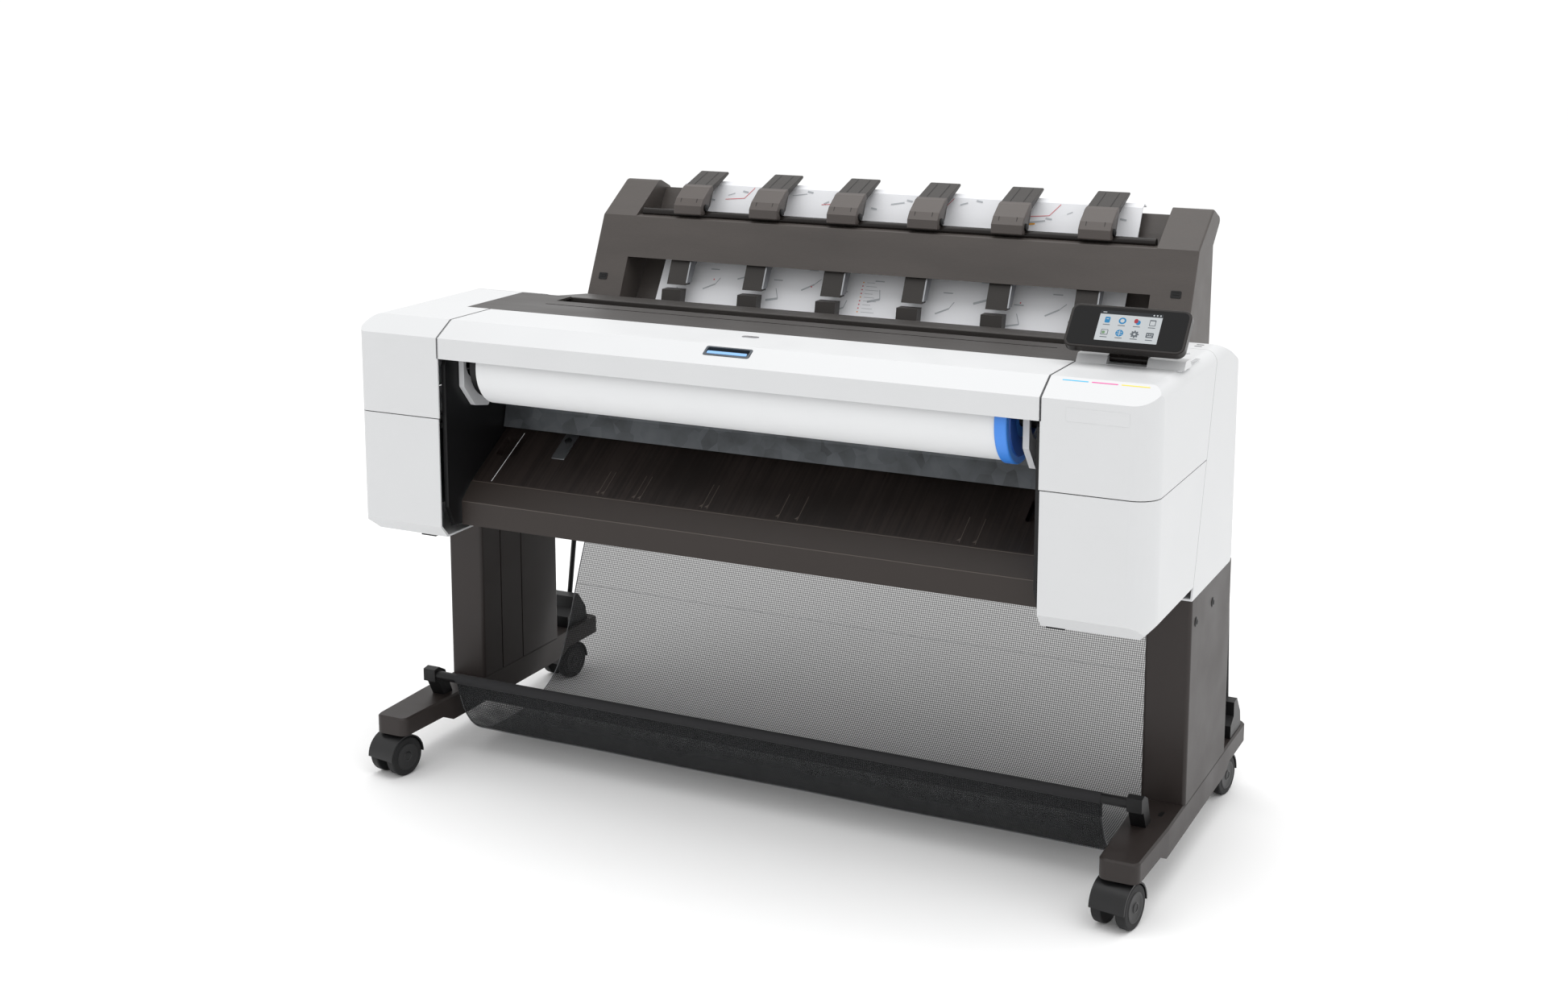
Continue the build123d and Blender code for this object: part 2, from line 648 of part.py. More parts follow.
def stand():
    """Pair of legs, pair of feet and the cross brace."""
    with BuildPart() as legs:
        for side in (-1, 1):
            middle_x = side * (LEG_IN_X + LEG_OUT_X) / 2
            groove_x = side * LEG_IN_X
            with BuildSketch(Plane.XY.offset(FOOT_TOP_Z)):
                with Locations((middle_x, (LEG_FRONT_Y + LEG_REAR_Y) / 2)):
                    RectangleRounded(LEG_OUT_X - LEG_IN_X, LEG_REAR_Y - LEG_FRONT_Y, 6)
                with Locations((groove_x, LEG_FRONT_Y + 60), (groove_x, LEG_FRONT_Y + 128)):
                    Rectangle(4, 3, mode=Mode.SUBTRACT)
                with Locations((middle_x, (LEG_FRONT_Y + LEG_REAR_Y) / 2)):
                    RectangleRounded(LEG_OUT_X - LEG_IN_X - 2 * LEG_WALL,
                                     LEG_REAR_Y - LEG_FRONT_Y - 2 * LEG_WALL, 3, mode=Mode.SUBTRACT)
            extrude(amount=LEG_TOP_Z - FOOT_TOP_Z)
            with BuildSketch(Plane.YZ.offset(side * LEG_OUT_X)):
                with Locations(*LEG_SCREWS):
                    Circle(SCREW_HOLE_RADIUS)
            extrude(amount=-side * 6, mode=Mode.SUBTRACT)
    save(legs.part, "legs")

    tip = 10.0
    with BuildPart() as feet:
        for side in (-1, 1):
            with BuildSketch(Plane.XY.offset(FOOT_LOW_Z)) as plan:
                with BuildLine():
                    Polyline((side * LEG_IN_X, FOOT_REAR_Y), (side * LEG_OUT_X, FOOT_REAR_Y),
                             (side * LEG_OUT_X, FOOT_FRONT_Y + 150),
                             (side * (LEG_OUT_X - tip / 2), FOOT_FRONT_Y),
                             (side * (LEG_IN_X + tip / 2), FOOT_FRONT_Y),
                             (side * LEG_IN_X, FOOT_FRONT_Y + 150), close=True)
                make_face()
                fillet(plan.vertices().group_by(Axis.Y)[0], 14)
                fillet(plan.vertices().group_by(Axis.Y)[-1], 14)
            extrude(amount=FOOT_TOP_Z - FOOT_LOW_Z)
        with BuildSketch(Plane.YZ.offset(-HALF_WIDTH)):
            with BuildLine():
                Polyline((FOOT_FRONT_Y - 1, FOOT_TOP_Z), (FOOT_FRONT_Y - 1, FOOT_BOTTOM_Z),
                         (-270, FOOT_BOTTOM_Z), (-240, FOOT_LOW_Z), (120, FOOT_LOW_Z),
                         (150, FOOT_BOTTOM_Z), (FOOT_REAR_Y + 1, FOOT_BOTTOM_Z),
                         (FOOT_REAR_Y + 1, FOOT_TOP_Z), close=True)
            make_face()
        extrude(amount=2 * HALF_WIDTH, mode=Mode.INTERSECT)
        chamfer(feet.faces().group_by(Axis.Z)[-1].edges(), 3)
        with BuildSketch(Plane.XY.offset(FOOT_LOW_Z)):
            with Locations(*[(side * (LEG_IN_X + LEG_OUT_X) / 2, -60) for side in (-1, 1)]):
                Rectangle(LEG_OUT_X - LEG_IN_X - 2 * FOOT_WALL, 330)
        extrude(amount=FOOT_TOP_Z - FOOT_LOW_Z - FOOT_WALL, mode=Mode.SUBTRACT)
        with BuildSketch(Plane.XY.offset(FOOT_BOTTOM_Z)):
            with Locations(*[(x, y) for x in (-STEM_X, STEM_X) for y in (STEM_FRONT_Y, STEM_REAR_Y)]):
                Circle(STEM_RADIUS + STEM_CLEARANCE)
        extrude(amount=22, mode=Mode.SUBTRACT)
    save(feet.part, "feet")

    with BuildPart() as brace:
        with BuildSketch(Plane.YZ.offset(-LEG_IN_X)):
            with Locations((84, 419)):
                RectangleRounded(40, 46, 3)
                RectangleRounded(36, 42, 2, mode=Mode.SUBTRACT)
        extrude(amount=2 * LEG_IN_X)
    save(brace.part, "cross_brace")


def casters():
    """Four twin-wheel casters: a hooded fork with its stem, and a pair of wheels on one axle."""
    corners = (("front_left", -STEM_X, STEM_FRONT_Y), ("front_right", STEM_X, STEM_FRONT_Y),
               ("rear_left", -STEM_X, STEM_REAR_Y), ("rear_right", STEM_X, STEM_REAR_Y))
    yaw = radians(CASTER_YAW)
    for name, stem_x, stem_y in corners:
        along = (cos(yaw), sin(yaw), 0)
        axle_centre = (stem_x + sin(yaw) * TRAIL, stem_y - cos(yaw) * TRAIL, WHEEL_RADIUS)
        across = Plane(origin=axle_centre, x_dir=(-sin(yaw), cos(yaw), 0), z_dir=along)
        hood_out = WHEEL_RADIUS + 4
        with BuildPart() as fork:
            with BuildSketch(across.offset(-29)):
                with BuildLine():
                    CenterArc((0, 0), hood_out, 0, 180)
                    Line((-hood_out, 0), (-hood_out + 2.5, 0))
                    CenterArc((0, 0), hood_out - 2.5, 180, -180)
                    Line((hood_out - 2.5, 0), (hood_out, 0))
                make_face()
            extrude(amount=58)
            with BuildSketch(across.offset(-10)):
                with BuildLine():
                    CenterArc((0, 0), hood_out - 1, 0, 180)
                    Line((-hood_out + 1, 0), (0, -8))
                    Line((0, -8), (hood_out - 1, 0))
                make_face()
                Circle(AXLE_RADIUS + STEM_CLEARANCE, mode=Mode.SUBTRACT)
            extrude(amount=20)
            with BuildSketch(Plane.XY.offset(50)):
                with Locations((stem_x, stem_y)):
                    Circle(9)
            extrude(amount=FOOT_BOTTOM_Z - 50.5)
            with BuildSketch(Plane.XY.offset(60)):
                with Locations((stem_x, stem_y)):
                    Circle(STEM_RADIUS)
            extrude(amount=34)
        save(fork.part, f"{name}_fork")

        with BuildPart() as wheels:
            for offset_x in (-WHEEL_SPACING / 2, WHEEL_SPACING / 2):
                with BuildSketch(across.offset(offset_x - WHEEL_WIDTH / 2)):
                    Circle(WHEEL_RADIUS)
                extrude(amount=WHEEL_WIDTH)
            fillet(wheels.edges().filter_by(GeomType.CIRCLE), 3)
            with BuildSketch(across.offset(-WHEEL_SPACING / 2)):
                Circle(AXLE_RADIUS)
            extrude(amount=WHEEL_SPACING)
        save(wheels.part, f"{name}_wheels")


def basket():
    """Front bar, rear bar, rear rods, their feet and elbows, and the mesh sling."""
    with BuildPart() as tubes:
        with BuildSketch(Plane.YZ.offset(-636)):
            with Locations((BAR_Y, BAR_Z)):
                Circle(BAR_RADIUS)
        extrude(amount=1272)
        with BuildSketch(Plane.YZ.offset(-640)):
            with Locations((REAR_BAR_Y, REAR_BAR_Z)):
                Circle(6)
        extrude(amount=1280)
        for side in (-1, 1):
            foot_point = Vector(side * 665, 222, 130)
            top_point = Vector(side * 650, 252, REAR_BAR_Z)
            direction = top_point - foot_point
            with BuildSketch(Plane(origin=foot_point, z_dir=direction)):
                Circle(5)
            extrude(amount=direction.length)
    save(tubes.part, "basket_tubes")

    with BuildPart() as fittings:
        for side in (-1, 1):
            with BuildSketch(Plane.YZ.offset(side * 636)):
                with BuildLine():
                    Polyline((-246, FOOT_TOP_Z), (-220, FOOT_TOP_Z), (-240, BAR_Z + 4),
                             (BAR_Y + 4, BAR_Z + 14), (BAR_Y - 10, BAR_Z + 12),
                             (BAR_Y - 10, BAR_Z - 10), (-262, BAR_Z - 12), close=True)
                make_face()
            extrude(amount=side * 24)
            with BuildSketch(Plane.YZ.offset(side * 632)):
                with BuildLine():
                    Polyline((166, FOOT_TOP_Z), (166, 130), (186, 142), (186, 166), (206, 168), (232, 136),
                             (238, FOOT_TOP_Z), close=True)
                make_face()
            extrude(amount=side * 56)
            foot_point = Vector(side * 665, 222, 130)
            direction = Vector(side * 650, 252, REAR_BAR_Z) - foot_point
            with BuildSketch(Plane(origin=foot_point, z_dir=direction)):
                Circle(5.05)
            extrude(amount=80, mode=Mode.SUBTRACT)
    save(fittings.part, "basket_fittings")

    route = [(BAR_Y, BAR_Z - 11), (-248, 88), (-208, 38), (-150, 20), (-20, 22), (56, 52), (98, 112),
             (170, 290), (REAR_BAR_Y - 3, REAR_BAR_Z - 9)]
    with BuildPart() as mesh:
        with BuildSketch(Plane.YZ.offset(-MESH_HALF)):
            with BuildLine():
                line = FilletPolyline(*route, radius=24)
                offset(line, amount=MESH_THICKNESS / 2, side=Side.BOTH)
            make_face()
        extrude(amount=2 * MESH_HALF)
    save(mesh.part, "basket_mesh")


def on_front(z, inset=0.0):
    """How far back the stacker's leaning front lies at height z, plus an inset."""
    return FOLD_Y - (FOLD_Z - z) * tan(STACKER_LEAN) + inset


def stacker():
    """Cheeks, front band, bar, back guide, lower arms, upper clip arms and the stacked prints."""
    with BuildPart() as cheeks:
        for side in (-1, 1):
            with BuildSketch(Plane.YZ.offset(side * CHEEK_IN_X)) as section:
                with BuildLine():
                    Polyline((on_front(700), 700), (FOLD_Y, FOLD_Z), (342, 990), (394, 968), (344, 924),
                             (338, 700), close=True)
                make_face()
                fillet(section.vertices().sort_by(Axis.Y)[-1], 16)
                fillet(section.vertices().sort_by(Axis.X)[-1], 10)
            extrude(amount=side * (STACKER_HALF - CHEEK_IN_X))
            fillet(cheeks.faces().sort_by(Axis.X)[0 if side < 0 else -1].edges(), 4)
        for side in (-1, 1):
            with BuildSketch(Plane.YZ.offset(side * (STACKER_HALF - 60))):
                with BuildLine():
                    Polyline((REAR_Y, 700), (REAR_Y, 740), (190, 740), (190, 700), close=True)
                make_face()
            extrude(amount=side * 40)
    save(cheeks.part, "stacker_cheeks")

    band_low = 853.0
    with BuildPart() as band:
        with BuildSketch(Plane.YZ.offset(-CHEEK_IN_X)) as section:
            with BuildLine():
                Polyline((on_front(band_low), band_low), (on_front(874), 874), (FOLD_Y, FOLD_Z),
                         (FOLD_Y + 16, FOLD_Z + 2), (FOLD_Y + 16, FOLD_Z - 10), (on_front(880, 12), 880),
                         (on_front(band_low, 22), band_low), close=True)
            make_face()
            fillet(section.vertices().sort_by(Axis.Y)[-2], 3)
        extrude(amount=2 * CHEEK_IN_X)
    save(band.part, "stacker_band")

    with BuildPart() as guide:
        with BuildSketch(Plane.YZ.offset(-CHEEK_IN_X + 1)):
            with BuildLine():
                Polyline((212, 716), (345, 940), (366, 972), (370, 970), (349, 936), (217, 714), close=True)
            make_face()
        extrude(amount=2 * CHEEK_IN_X - 2)
    save(guide.part, "stacker_back")

    with BuildPart() as prints:
        with BuildSketch(Plane.YZ.offset(-457)):
            with BuildLine():
                Polyline((216, 762), (322, 940), (346, 984), (358, 990), (372, 984), (371, 982),
                         (358, 987.5), (348, 982), (324, 938.5), (218, 761), close=True)
            make_face()
        extrude(amount=914)
    save(prints.part, "stacked_prints")

    with BuildPart() as arms:
        for centre_x in CLIP_CENTRES:
            with BuildSketch(Plane.YZ.offset(centre_x - ARM_WIDTH / 2)) as section:
                with BuildLine():
                    Polyline((on_front(808, 8), 808), (on_front(band_low, 8), band_low),
                             (on_front(band_low, 24), band_low), (on_front(900, 20), 900),
                             (on_front(900, 34), 900), (on_front(850, 40), 850), (on_front(830, 28), 830),
                             (on_front(808, 26), 808), close=True)
                make_face()
            extrude(amount=ARM_WIDTH)
            with BuildSketch(Plane.YZ.offset(centre_x - ARM_WIDTH / 2 - 4)):
                with BuildLine():
                    Polyline((186, 779), (190, 800), (212, 800), (205, 772), (190, 772), close=True)
                make_face()
            extrude(amount=ARM_WIDTH)
    save(arms.part, "lower_arms")

    for index, centre_x in enumerate(CLIP_CENTRES):
        with BuildPart() as clip:
            with BuildSketch(Plane.YZ.offset(centre_x - CLIP_WIDTH / 2)) as section:
                with BuildLine():
                    Polyline((CLIP_PIN_Y - 6, CLIP_PIN_Z - 4), (CLIP_PIN_Y - 2, CLIP_PIN_Z + 12), (290, 984),
                             (362, 1008), (364, 1003), (300, 976), (288, 950), (276, CLIP_PIN_Z - 3),
                             close=True)
                make_face()
                fillet(section.vertices().sort_by(Axis.X)[0:2], 2.5)
            extrude(amount=CLIP_WIDTH)
            with BuildSketch(Plane.YZ.offset(centre_x + CLIP_WIDTH / 2)):
                with Locations((CLIP_PIN_Y + 8, CLIP_PIN_Z + 4)):
                    Circle(6)
            extrude(amount=4)
        save(clip.part, f"clip_arm_{index + 1}")


def main():
    os.makedirs("parts", exist_ok=True)
    upper_housing(BAY_LEFT_X, -HALF_WIDTH, LEFT_CORNER_RADIUS, "left_housing")
    upper_housing(BAY_RIGHT_X, HALF_WIDTH, RIGHT_CORNER_RADIUS, "right_housing")
    ink_door(BAY_LEFT_X, -HALF_WIDTH, LEFT_CORNER_RADIUS, "left_ink_door")
    ink_door(BAY_RIGHT_X, HALF_WIDTH, RIGHT_CORNER_RADIUS, "right_ink_door")
    rear_end_cover(BAY_LEFT_X, -HALF_WIDTH, LEFT_ROOF_REAR_Y, "left_rear_cover")
    rear_end_cover(BAY_RIGHT_X, HALF_WIDTH, RIGHT_ROOF_REAR_Y, "right_rear_cover")
    roll_cover()
    top_cover()
    output_ramp()
    body_frame()
    front_tray()
    roll_set()
    print_engine()
    electronics()
    display()
    stand()
    casters()
    basket()
    stacker()


main()
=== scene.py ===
import json
import logging
import math
from collections.abc import Sequence
from dataclasses import dataclass, field
from enum import Enum

import bmesh
import bpy
from mathutils import Matrix, Vector


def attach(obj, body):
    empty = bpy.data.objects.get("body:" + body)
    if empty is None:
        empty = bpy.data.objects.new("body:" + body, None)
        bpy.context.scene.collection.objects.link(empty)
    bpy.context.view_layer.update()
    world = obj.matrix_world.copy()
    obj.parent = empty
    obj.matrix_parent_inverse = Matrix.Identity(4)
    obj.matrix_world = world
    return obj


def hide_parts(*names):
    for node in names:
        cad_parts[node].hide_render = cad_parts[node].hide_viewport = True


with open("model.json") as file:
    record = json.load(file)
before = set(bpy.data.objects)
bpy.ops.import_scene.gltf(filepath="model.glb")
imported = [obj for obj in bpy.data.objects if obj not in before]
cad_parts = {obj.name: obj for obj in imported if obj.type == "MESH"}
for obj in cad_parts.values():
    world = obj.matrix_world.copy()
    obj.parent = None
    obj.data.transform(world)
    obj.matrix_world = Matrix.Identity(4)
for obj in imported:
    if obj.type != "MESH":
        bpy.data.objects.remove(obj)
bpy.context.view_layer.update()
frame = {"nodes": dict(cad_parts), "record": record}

LOG = logging.getLogger("plotter")
MM = 0.001
BEVEL_FROM_DEG = 35
SHARP_FROM_DEG = 40

Point = tuple[float, float, float]
Pair = tuple[float, float]


class Slot(Enum):
    """Material slots of the record."""

    WHITE_CASING = "white_casing"
    TAUPE_CASING = "taupe_casing"
    TRAY_PLASTIC = "tray_plastic"
    BLACK_PLASTIC = "black_plastic"
    PANEL_FRAME = "panel_frame"
    BLUE_PLASTIC = "blue_plastic"
    CYAN_INSERT = "cyan_insert"
    STAND_PAINT = "stand_paint"
    BLACK_TUBE = "black_tube"
    GALVANISED_SHEET = "galvanised_sheet"
    MACHINED_STEEL = "machined_steel"
    ZINC_SHEET = "zinc_sheet"
    ROLLER_RUBBER = "roller_rubber"
    CASTER_RUBBER = "caster_rubber"
    CASTER_PLASTIC = "caster_plastic"
    ROLL_PAPER = "roll_paper"
    PRINT_PAPER = "print_paper"
    MESH_CLOTH = "mesh_cloth"
    WHITE_BRACKET = "white_bracket"
    CARTRIDGE_PLASTIC = "cartridge_plastic"


def linear(code: str, gain: float = 1.0) -> tuple[float, float, float, float]:
    """Turns an sRGB hex colour to linear light.

    Args:
        code: colour as "#RRGGBB".
        gain: factor on the linear value, for a lighter or darker tone.

    Returns:
        Linear red, green, blue and an alpha of 1.
    """
    parts = [int(code[i : i + 2], 16) / 255 for i in (1, 3, 5)]
    values = [p / 12.92 if p <= 0.04045 else ((p + 0.055) / 1.055) ** 2.4 for p in parts]
    return (*[min(1.0, v * gain) for v in values], 1.0)


def add_node(tree: bpy.types.NodeTree, kind: str, settings: dict | None = None,
             links: dict | None = None) -> bpy.types.Node:
    """Adds a shader node.

    Args:
        tree: node tree to add to.
        kind: node type after "ShaderNode".
        settings: inputs by name or number, and attributes of the node by their lower-case names.
        links: output sockets by the name or number of the input that they go to.

    Returns:
        The new node.
    """
    made = tree.nodes.new("ShaderNode" + kind)
    for key, value in (settings or {}).items():
        if isinstance(key, str) and hasattr(made, key):
            setattr(made, key, value)
        else:
            made.inputs[key].default_value = value
    for key, socket in (links or {}).items():
        tree.links.new(socket, made.inputs[key])
    return made


def put(name: str, data: bpy.types.ID) -> bpy.types.Object:
    """Makes an object that shows the data and links it to the scene."""
    made = bpy.data.objects.new(name, data)
    bpy.context.scene.collection.objects.link(made)
    return made


def aim(thing: bpy.types.Object, place: Point, ahead: Vector) -> None:
    """Moves a lamp or camera to a place and turns it to look ahead."""
    thing.location = place
    thing.rotation_mode = "QUATERNION"
    thing.rotation_quaternion = ahead.to_track_quat("-Z", "Y")


@dataclass(frozen=True)
class Finish:
    """A surface finish: a Principled shader with a tone that drifts and a fine relief.

    Sizes of patterns are in millimetres; relief is the height of the grain.
    """

    name: str
    colour: str
    roughness: float
    ior: float = 1.5
    metallic: float = 0.0
    grain_mm: float = 0.8
    relief_mm: float = 0.02
    stretch: Point = (1.0, 1.0, 1.0)
    drift: float = 0.03
    drift_mm: float = 90.0
    gloss_drift: float = 0.04
    coat: float = 0.0
    specular: float = 0.5

    def material(self) -> bpy.types.Material:
        """Makes the material once and returns it again when it is asked for later."""
        found = bpy.data.materials.get(self.name)
        if found:
            return found
        made = bpy.data.materials.new(self.name)
        made.use_nodes = True
        tree = made.node_tree
        tree.nodes.clear()
        shader = add_node(tree, "BsdfPrincipled", {
            "Base Color": linear(self.colour), "Roughness": self.roughness, "IOR": self.ior,
            "Metallic": self.metallic, "Specular IOR Level": self.specular, "Coat Weight": self.coat,
            "Coat Roughness": 0.08,
        })
        add_node(tree, "OutputMaterial", None, {"Surface": shader.outputs["BSDF"]})
        self.dress(tree, shader)
        made.diffuse_color = linear(self.colour)
        return made

    def place(self, tree: bpy.types.NodeTree, size_mm: float,
              stretch: Point = (1.0, 1.0, 1.0)) -> bpy.types.NodeSocket:
        """Returns the object coordinates scaled so that one unit is size_mm."""
        where = add_node(tree, "TexCoord")
        scale = tuple(1.0 / (size_mm * MM * s) for s in stretch)
        scaled = add_node(tree, "Mapping", {"Scale": scale}, {"Vector": where.outputs["Object"]})
        return scaled.outputs["Vector"]

    def tone(self, tree: bpy.types.NodeTree, share: bpy.types.NodeSocket) -> bpy.types.NodeSocket:
        """Returns the colour between its darker and its lighter tone, by a share from 0 to 1."""
        return add_node(tree, "Mix", {"data_type": "RGBA", 6: linear(self.colour, 1 - self.drift),
                                      7: linear(self.colour, 1 + self.drift)}, {0: share}).outputs[2]

    def dress(self, tree: bpy.types.NodeTree, shader: bpy.types.Node) -> None:
        """Adds the tone drift, the gloss drift and the grain."""
        clouds = add_node(tree, "TexNoise", {"Scale": 1.0, "Detail": 3.0},
                          {"Vector": self.place(tree, self.drift_mm, self.stretch)})
        grain = add_node(tree, "TexNoise", {"Scale": 1.0, "Detail": 2.0},
                         {"Vector": self.place(tree, self.grain_mm, self.stretch)})
        blend = add_node(tree, "Math", {"operation": "MULTIPLY_ADD", 1: 0.35},
                         {0: grain.outputs["Fac"], 2: clouds.outputs["Fac"]})
        share = add_node(tree, "MapRange", {"From Min": 0.35}, {"Value": blend.outputs[0]})
        tree.links.new(self.tone(tree, share.outputs[0]), shader.inputs["Base Color"])
        gloss = add_node(tree, "MapRange", {"From Min": 0.3, "From Max": 0.7,
                                            "To Min": max(0.02, self.roughness - self.gloss_drift),
                                            "To Max": min(1.0, self.roughness + self.gloss_drift)},
                         {"Value": clouds.outputs["Fac"]})
        tree.links.new(gloss.outputs[0], shader.inputs["Roughness"])
        bump = add_node(tree, "Bump", {"Strength": 1.0, "Distance": self.relief_mm * MM},
                        {"Height": grain.outputs["Fac"]})
        tree.links.new(bump.outputs["Normal"], shader.inputs["Normal"])


@dataclass(frozen=True)
class LinedPlastic(Finish):
    """Moulded plastic with fine ribs that run the way the print slides, and a plain lip below its fold."""

    pitch_mm: float = 4.0
    rib_share: float = 60.0
    patch_mm: float = 160.0
    fold_z_mm: float = 534.0
    lip_colour: str = "#2F2926"

    def dress(self, tree: bpy.types.NodeTree, shader: bpy.types.Node) -> None:
        """Adds the ribs, with their strength drifting along them."""
        ribs = add_node(tree, "TexNoise", {"Scale": 1.0, "Detail": 1.0},
                        {"Vector": self.place(tree, self.pitch_mm, (1.0, self.rib_share, self.rib_share))})
        clouds = add_node(tree, "TexNoise", {"Scale": 1.0, "Detail": 2.0},
                          {"Vector": self.place(tree, self.patch_mm)})
        depth = add_node(tree, "Math", {"operation": "MULTIPLY"},
                         {0: ribs.outputs["Fac"], 1: clouds.outputs["Fac"]})
        share = add_node(tree, "MapRange", {"From Min": 0.17, "From Max": 0.36}, {"Value": depth.outputs[0]})
        where = add_node(tree, "TexCoord")
        height = add_node(tree, "SeparateXYZ", None, {"Vector": where.outputs["Object"]})
        bed = add_node(tree, "MapRange",
                       {"From Min": (self.fold_z_mm - 1.0) * MM, "From Max": (self.fold_z_mm + 1.0) * MM},
                       {"Value": height.outputs["Z"]})
        both = add_node(tree, "Mix", {"data_type": "RGBA", 6: linear(self.lip_colour)},
                        {0: bed.outputs[0], 7: self.tone(tree, share.outputs[0])})
        tree.links.new(both.outputs[2], shader.inputs["Base Color"])
        ribbed = add_node(tree, "Math", {"operation": "MULTIPLY"},
                          {0: ribs.outputs["Fac"], 1: bed.outputs[0]})
        bump = add_node(tree, "Bump", {"Strength": 0.6, "Distance": self.relief_mm * MM},
                        {"Height": ribbed.outputs[0]})
        tree.links.new(bump.outputs["Normal"], shader.inputs["Normal"])


@dataclass(frozen=True)
class SpangledZinc(Finish):
    """Hot-dip galvanised sheet: flat crystals of different greys under a dull bloom."""

    crystal_mm: float = 26.0
    bloom_mm: float = 60.0

    def dress(self, tree: bpy.types.NodeTree, shader: bpy.types.Node) -> None:
        """Adds the crystals and the clouded bloom over them."""
        bloom = add_node(tree, "TexNoise", {"Scale": 1.0, "Detail": 4.0},
                         {"Vector": self.place(tree, self.bloom_mm)})
        cells = add_node(tree, "TexVoronoi", {"Scale": 1.0}, {"Vector": self.place(tree, self.crystal_mm)})
        grey = add_node(tree, "RGBToBW", None, {"Color": cells.outputs["Color"]})
        mixed = add_node(tree, "Math", {"operation": "MULTIPLY_ADD", 1: 0.35},
                         {0: grey.outputs[0], 2: bloom.outputs["Fac"]})
        share = add_node(tree, "MapRange", {"From Min": 0.42, "From Max": 0.95}, {"Value": mixed.outputs[0]})
        tree.links.new(self.tone(tree, share.outputs[0]), shader.inputs["Base Color"])
        gloss = add_node(tree, "MapRange", {"To Min": self.roughness - 0.1, "To Max": self.roughness + 0.15},
                         {"Value": share.outputs[0]})
        tree.links.new(gloss.outputs[0], shader.inputs["Roughness"])


@dataclass(frozen=True)
class Netting(Finish):
    """Knitted net: threads cross on the diagonal and leave open diamonds between them."""

    pitch_mm: float = 5.0
    open_share: float = 0.5
    thread_share: float = 0.86

    def dress(self, tree: bpy.types.NodeTree, shader: bpy.types.Node) -> None:
        """Thins the cloth in the diamonds, where fine threads still cross, and shades the threads."""
        where = add_node(tree, "UVMap", {"uv_map": "weave"})
        turned = add_node(tree, "Mapping", {"Rotation": (0.0, 0.0, math.radians(45)),
                                            "Scale": (2 * math.pi / (self.pitch_mm * MM),) * 3},
                          {"Vector": where.outputs["UV"]})
        axes = add_node(tree, "SeparateXYZ", None, {"Vector": turned.outputs["Vector"]})
        waves = [add_node(tree, "Math", {"operation": "SINE"}, {0: axes.outputs[axis]}).outputs[0]
                 for axis in (0, 1)]
        holes = add_node(tree, "Math", {"operation": "MULTIPLY"}, {0: waves[0], 1: waves[1]})
        thread = add_node(tree, "MapRange", {"From Min": 0.35, "From Max": -0.1, "To Min": self.open_share,
                                             "To Max": self.thread_share}, {"Value": holes.outputs[0]})
        tree.links.new(thread.outputs[0], shader.inputs["Alpha"])
        clouds = add_node(tree, "TexNoise", {"Scale": 1.0, "Detail": 3.0},
                          {"Vector": self.place(tree, self.drift_mm)})
        tree.links.new(self.tone(tree, clouds.outputs["Fac"]), shader.inputs["Base Color"])


@dataclass(frozen=True)
class Lit(Finish):
    """Backlit liquid-crystal display, or a printed key on it."""

    glow: float = 0.8

    def dress(self, tree: bpy.types.NodeTree, shader: bpy.types.Node) -> None:
        """Adds the backlight, a little weaker in soft patches."""
        clouds = add_node(tree, "TexNoise", {"Scale": 1.0}, {"Vector": self.place(tree, 50.0)})
        colour = add_node(tree, "Mix", {"data_type": "RGBA", 6: linear(self.colour, 0.93),
                                        7: linear(self.colour)}, {0: clouds.outputs["Fac"]})
        tree.links.new(colour.outputs[2], shader.inputs["Emission Color"])
        shader.inputs["Base Color"].default_value = linear("#0A0A0B")
        shader.inputs["Emission Strength"].default_value = self.glow


# Moulded ABS with a spark-eroded texture: an even satin white whose grain only dulls the highlight.
WHITE_ABS = Finish("white_abs", "#CDCECF", 0.42, grain_mm=1.0, relief_mm=0.012, drift=0.012)
# Textured polycarbonate blend in warm dark grey: grain drawn out lengthwise, with a faint silver sheen.
TAUPE_PC = Finish("taupe_textured_plastic", "#45403D", 0.42, grain_mm=1.8, relief_mm=0.05,
                  stretch=(4.0, 1.0, 1.0), drift=0.16, drift_mm=50, specular=0.4)
# The same blend in the darker tone of the roof, the arms and the flaps.
DARK_TAUPE = Finish("dark_taupe_plastic", "#33302E", 0.42, grain_mm=1.8, relief_mm=0.04,
                    stretch=(4.0, 1.0, 1.0), drift=0.14, drift_mm=50, specular=0.3)
# The same blend on the clip blocks, in a lighter tone.
CLIP_GREY = Finish("clip_block_plastic", "#4E4845", 0.36, grain_mm=1.4, relief_mm=0.02, drift=0.08,
                   specular=0.4)
# Print tray in ribbed brown-black polystyrene: fine lines catch the light down the bed.
TRAY_RIBBED = LinedPlastic("ribbed_tray_plastic", "#231D1B", 0.45, relief_mm=0.25, drift=0.35, specular=0.3)
# Light brown of the guide marks, also used for the painted highlights on the tray's fold and lip edges.
MARK_AND_HIGHLIGHT_BROWN = Finish("tray_marks_and_painted_highlights", "#4A423D", 0.5, drift=0.1)
# Black ABS inside the bay: satin, almost without tone.
BLACK_ABS = Finish("black_abs", "#101011", 0.42, grain_mm=0.9, relief_mm=0.015, drift=0.12, specular=0.3)
# Acrylic bezel in black-brown: polished mould, so its highlights are sharp.
BEZEL = Finish("panel_bezel_acrylic", "#1B1715", 0.26, ior=1.49, grain_mm=1.2, relief_mm=0.004, drift=0.08,
               specular=0.25)
# Cover glass over the screen: polished and nearly black, coated against prints of fingers.
COVER_GLASS = Finish("cover_glass", "#050506", 0.1, ior=1.52, relief_mm=0.001, drift=0.05, specular=0.12)
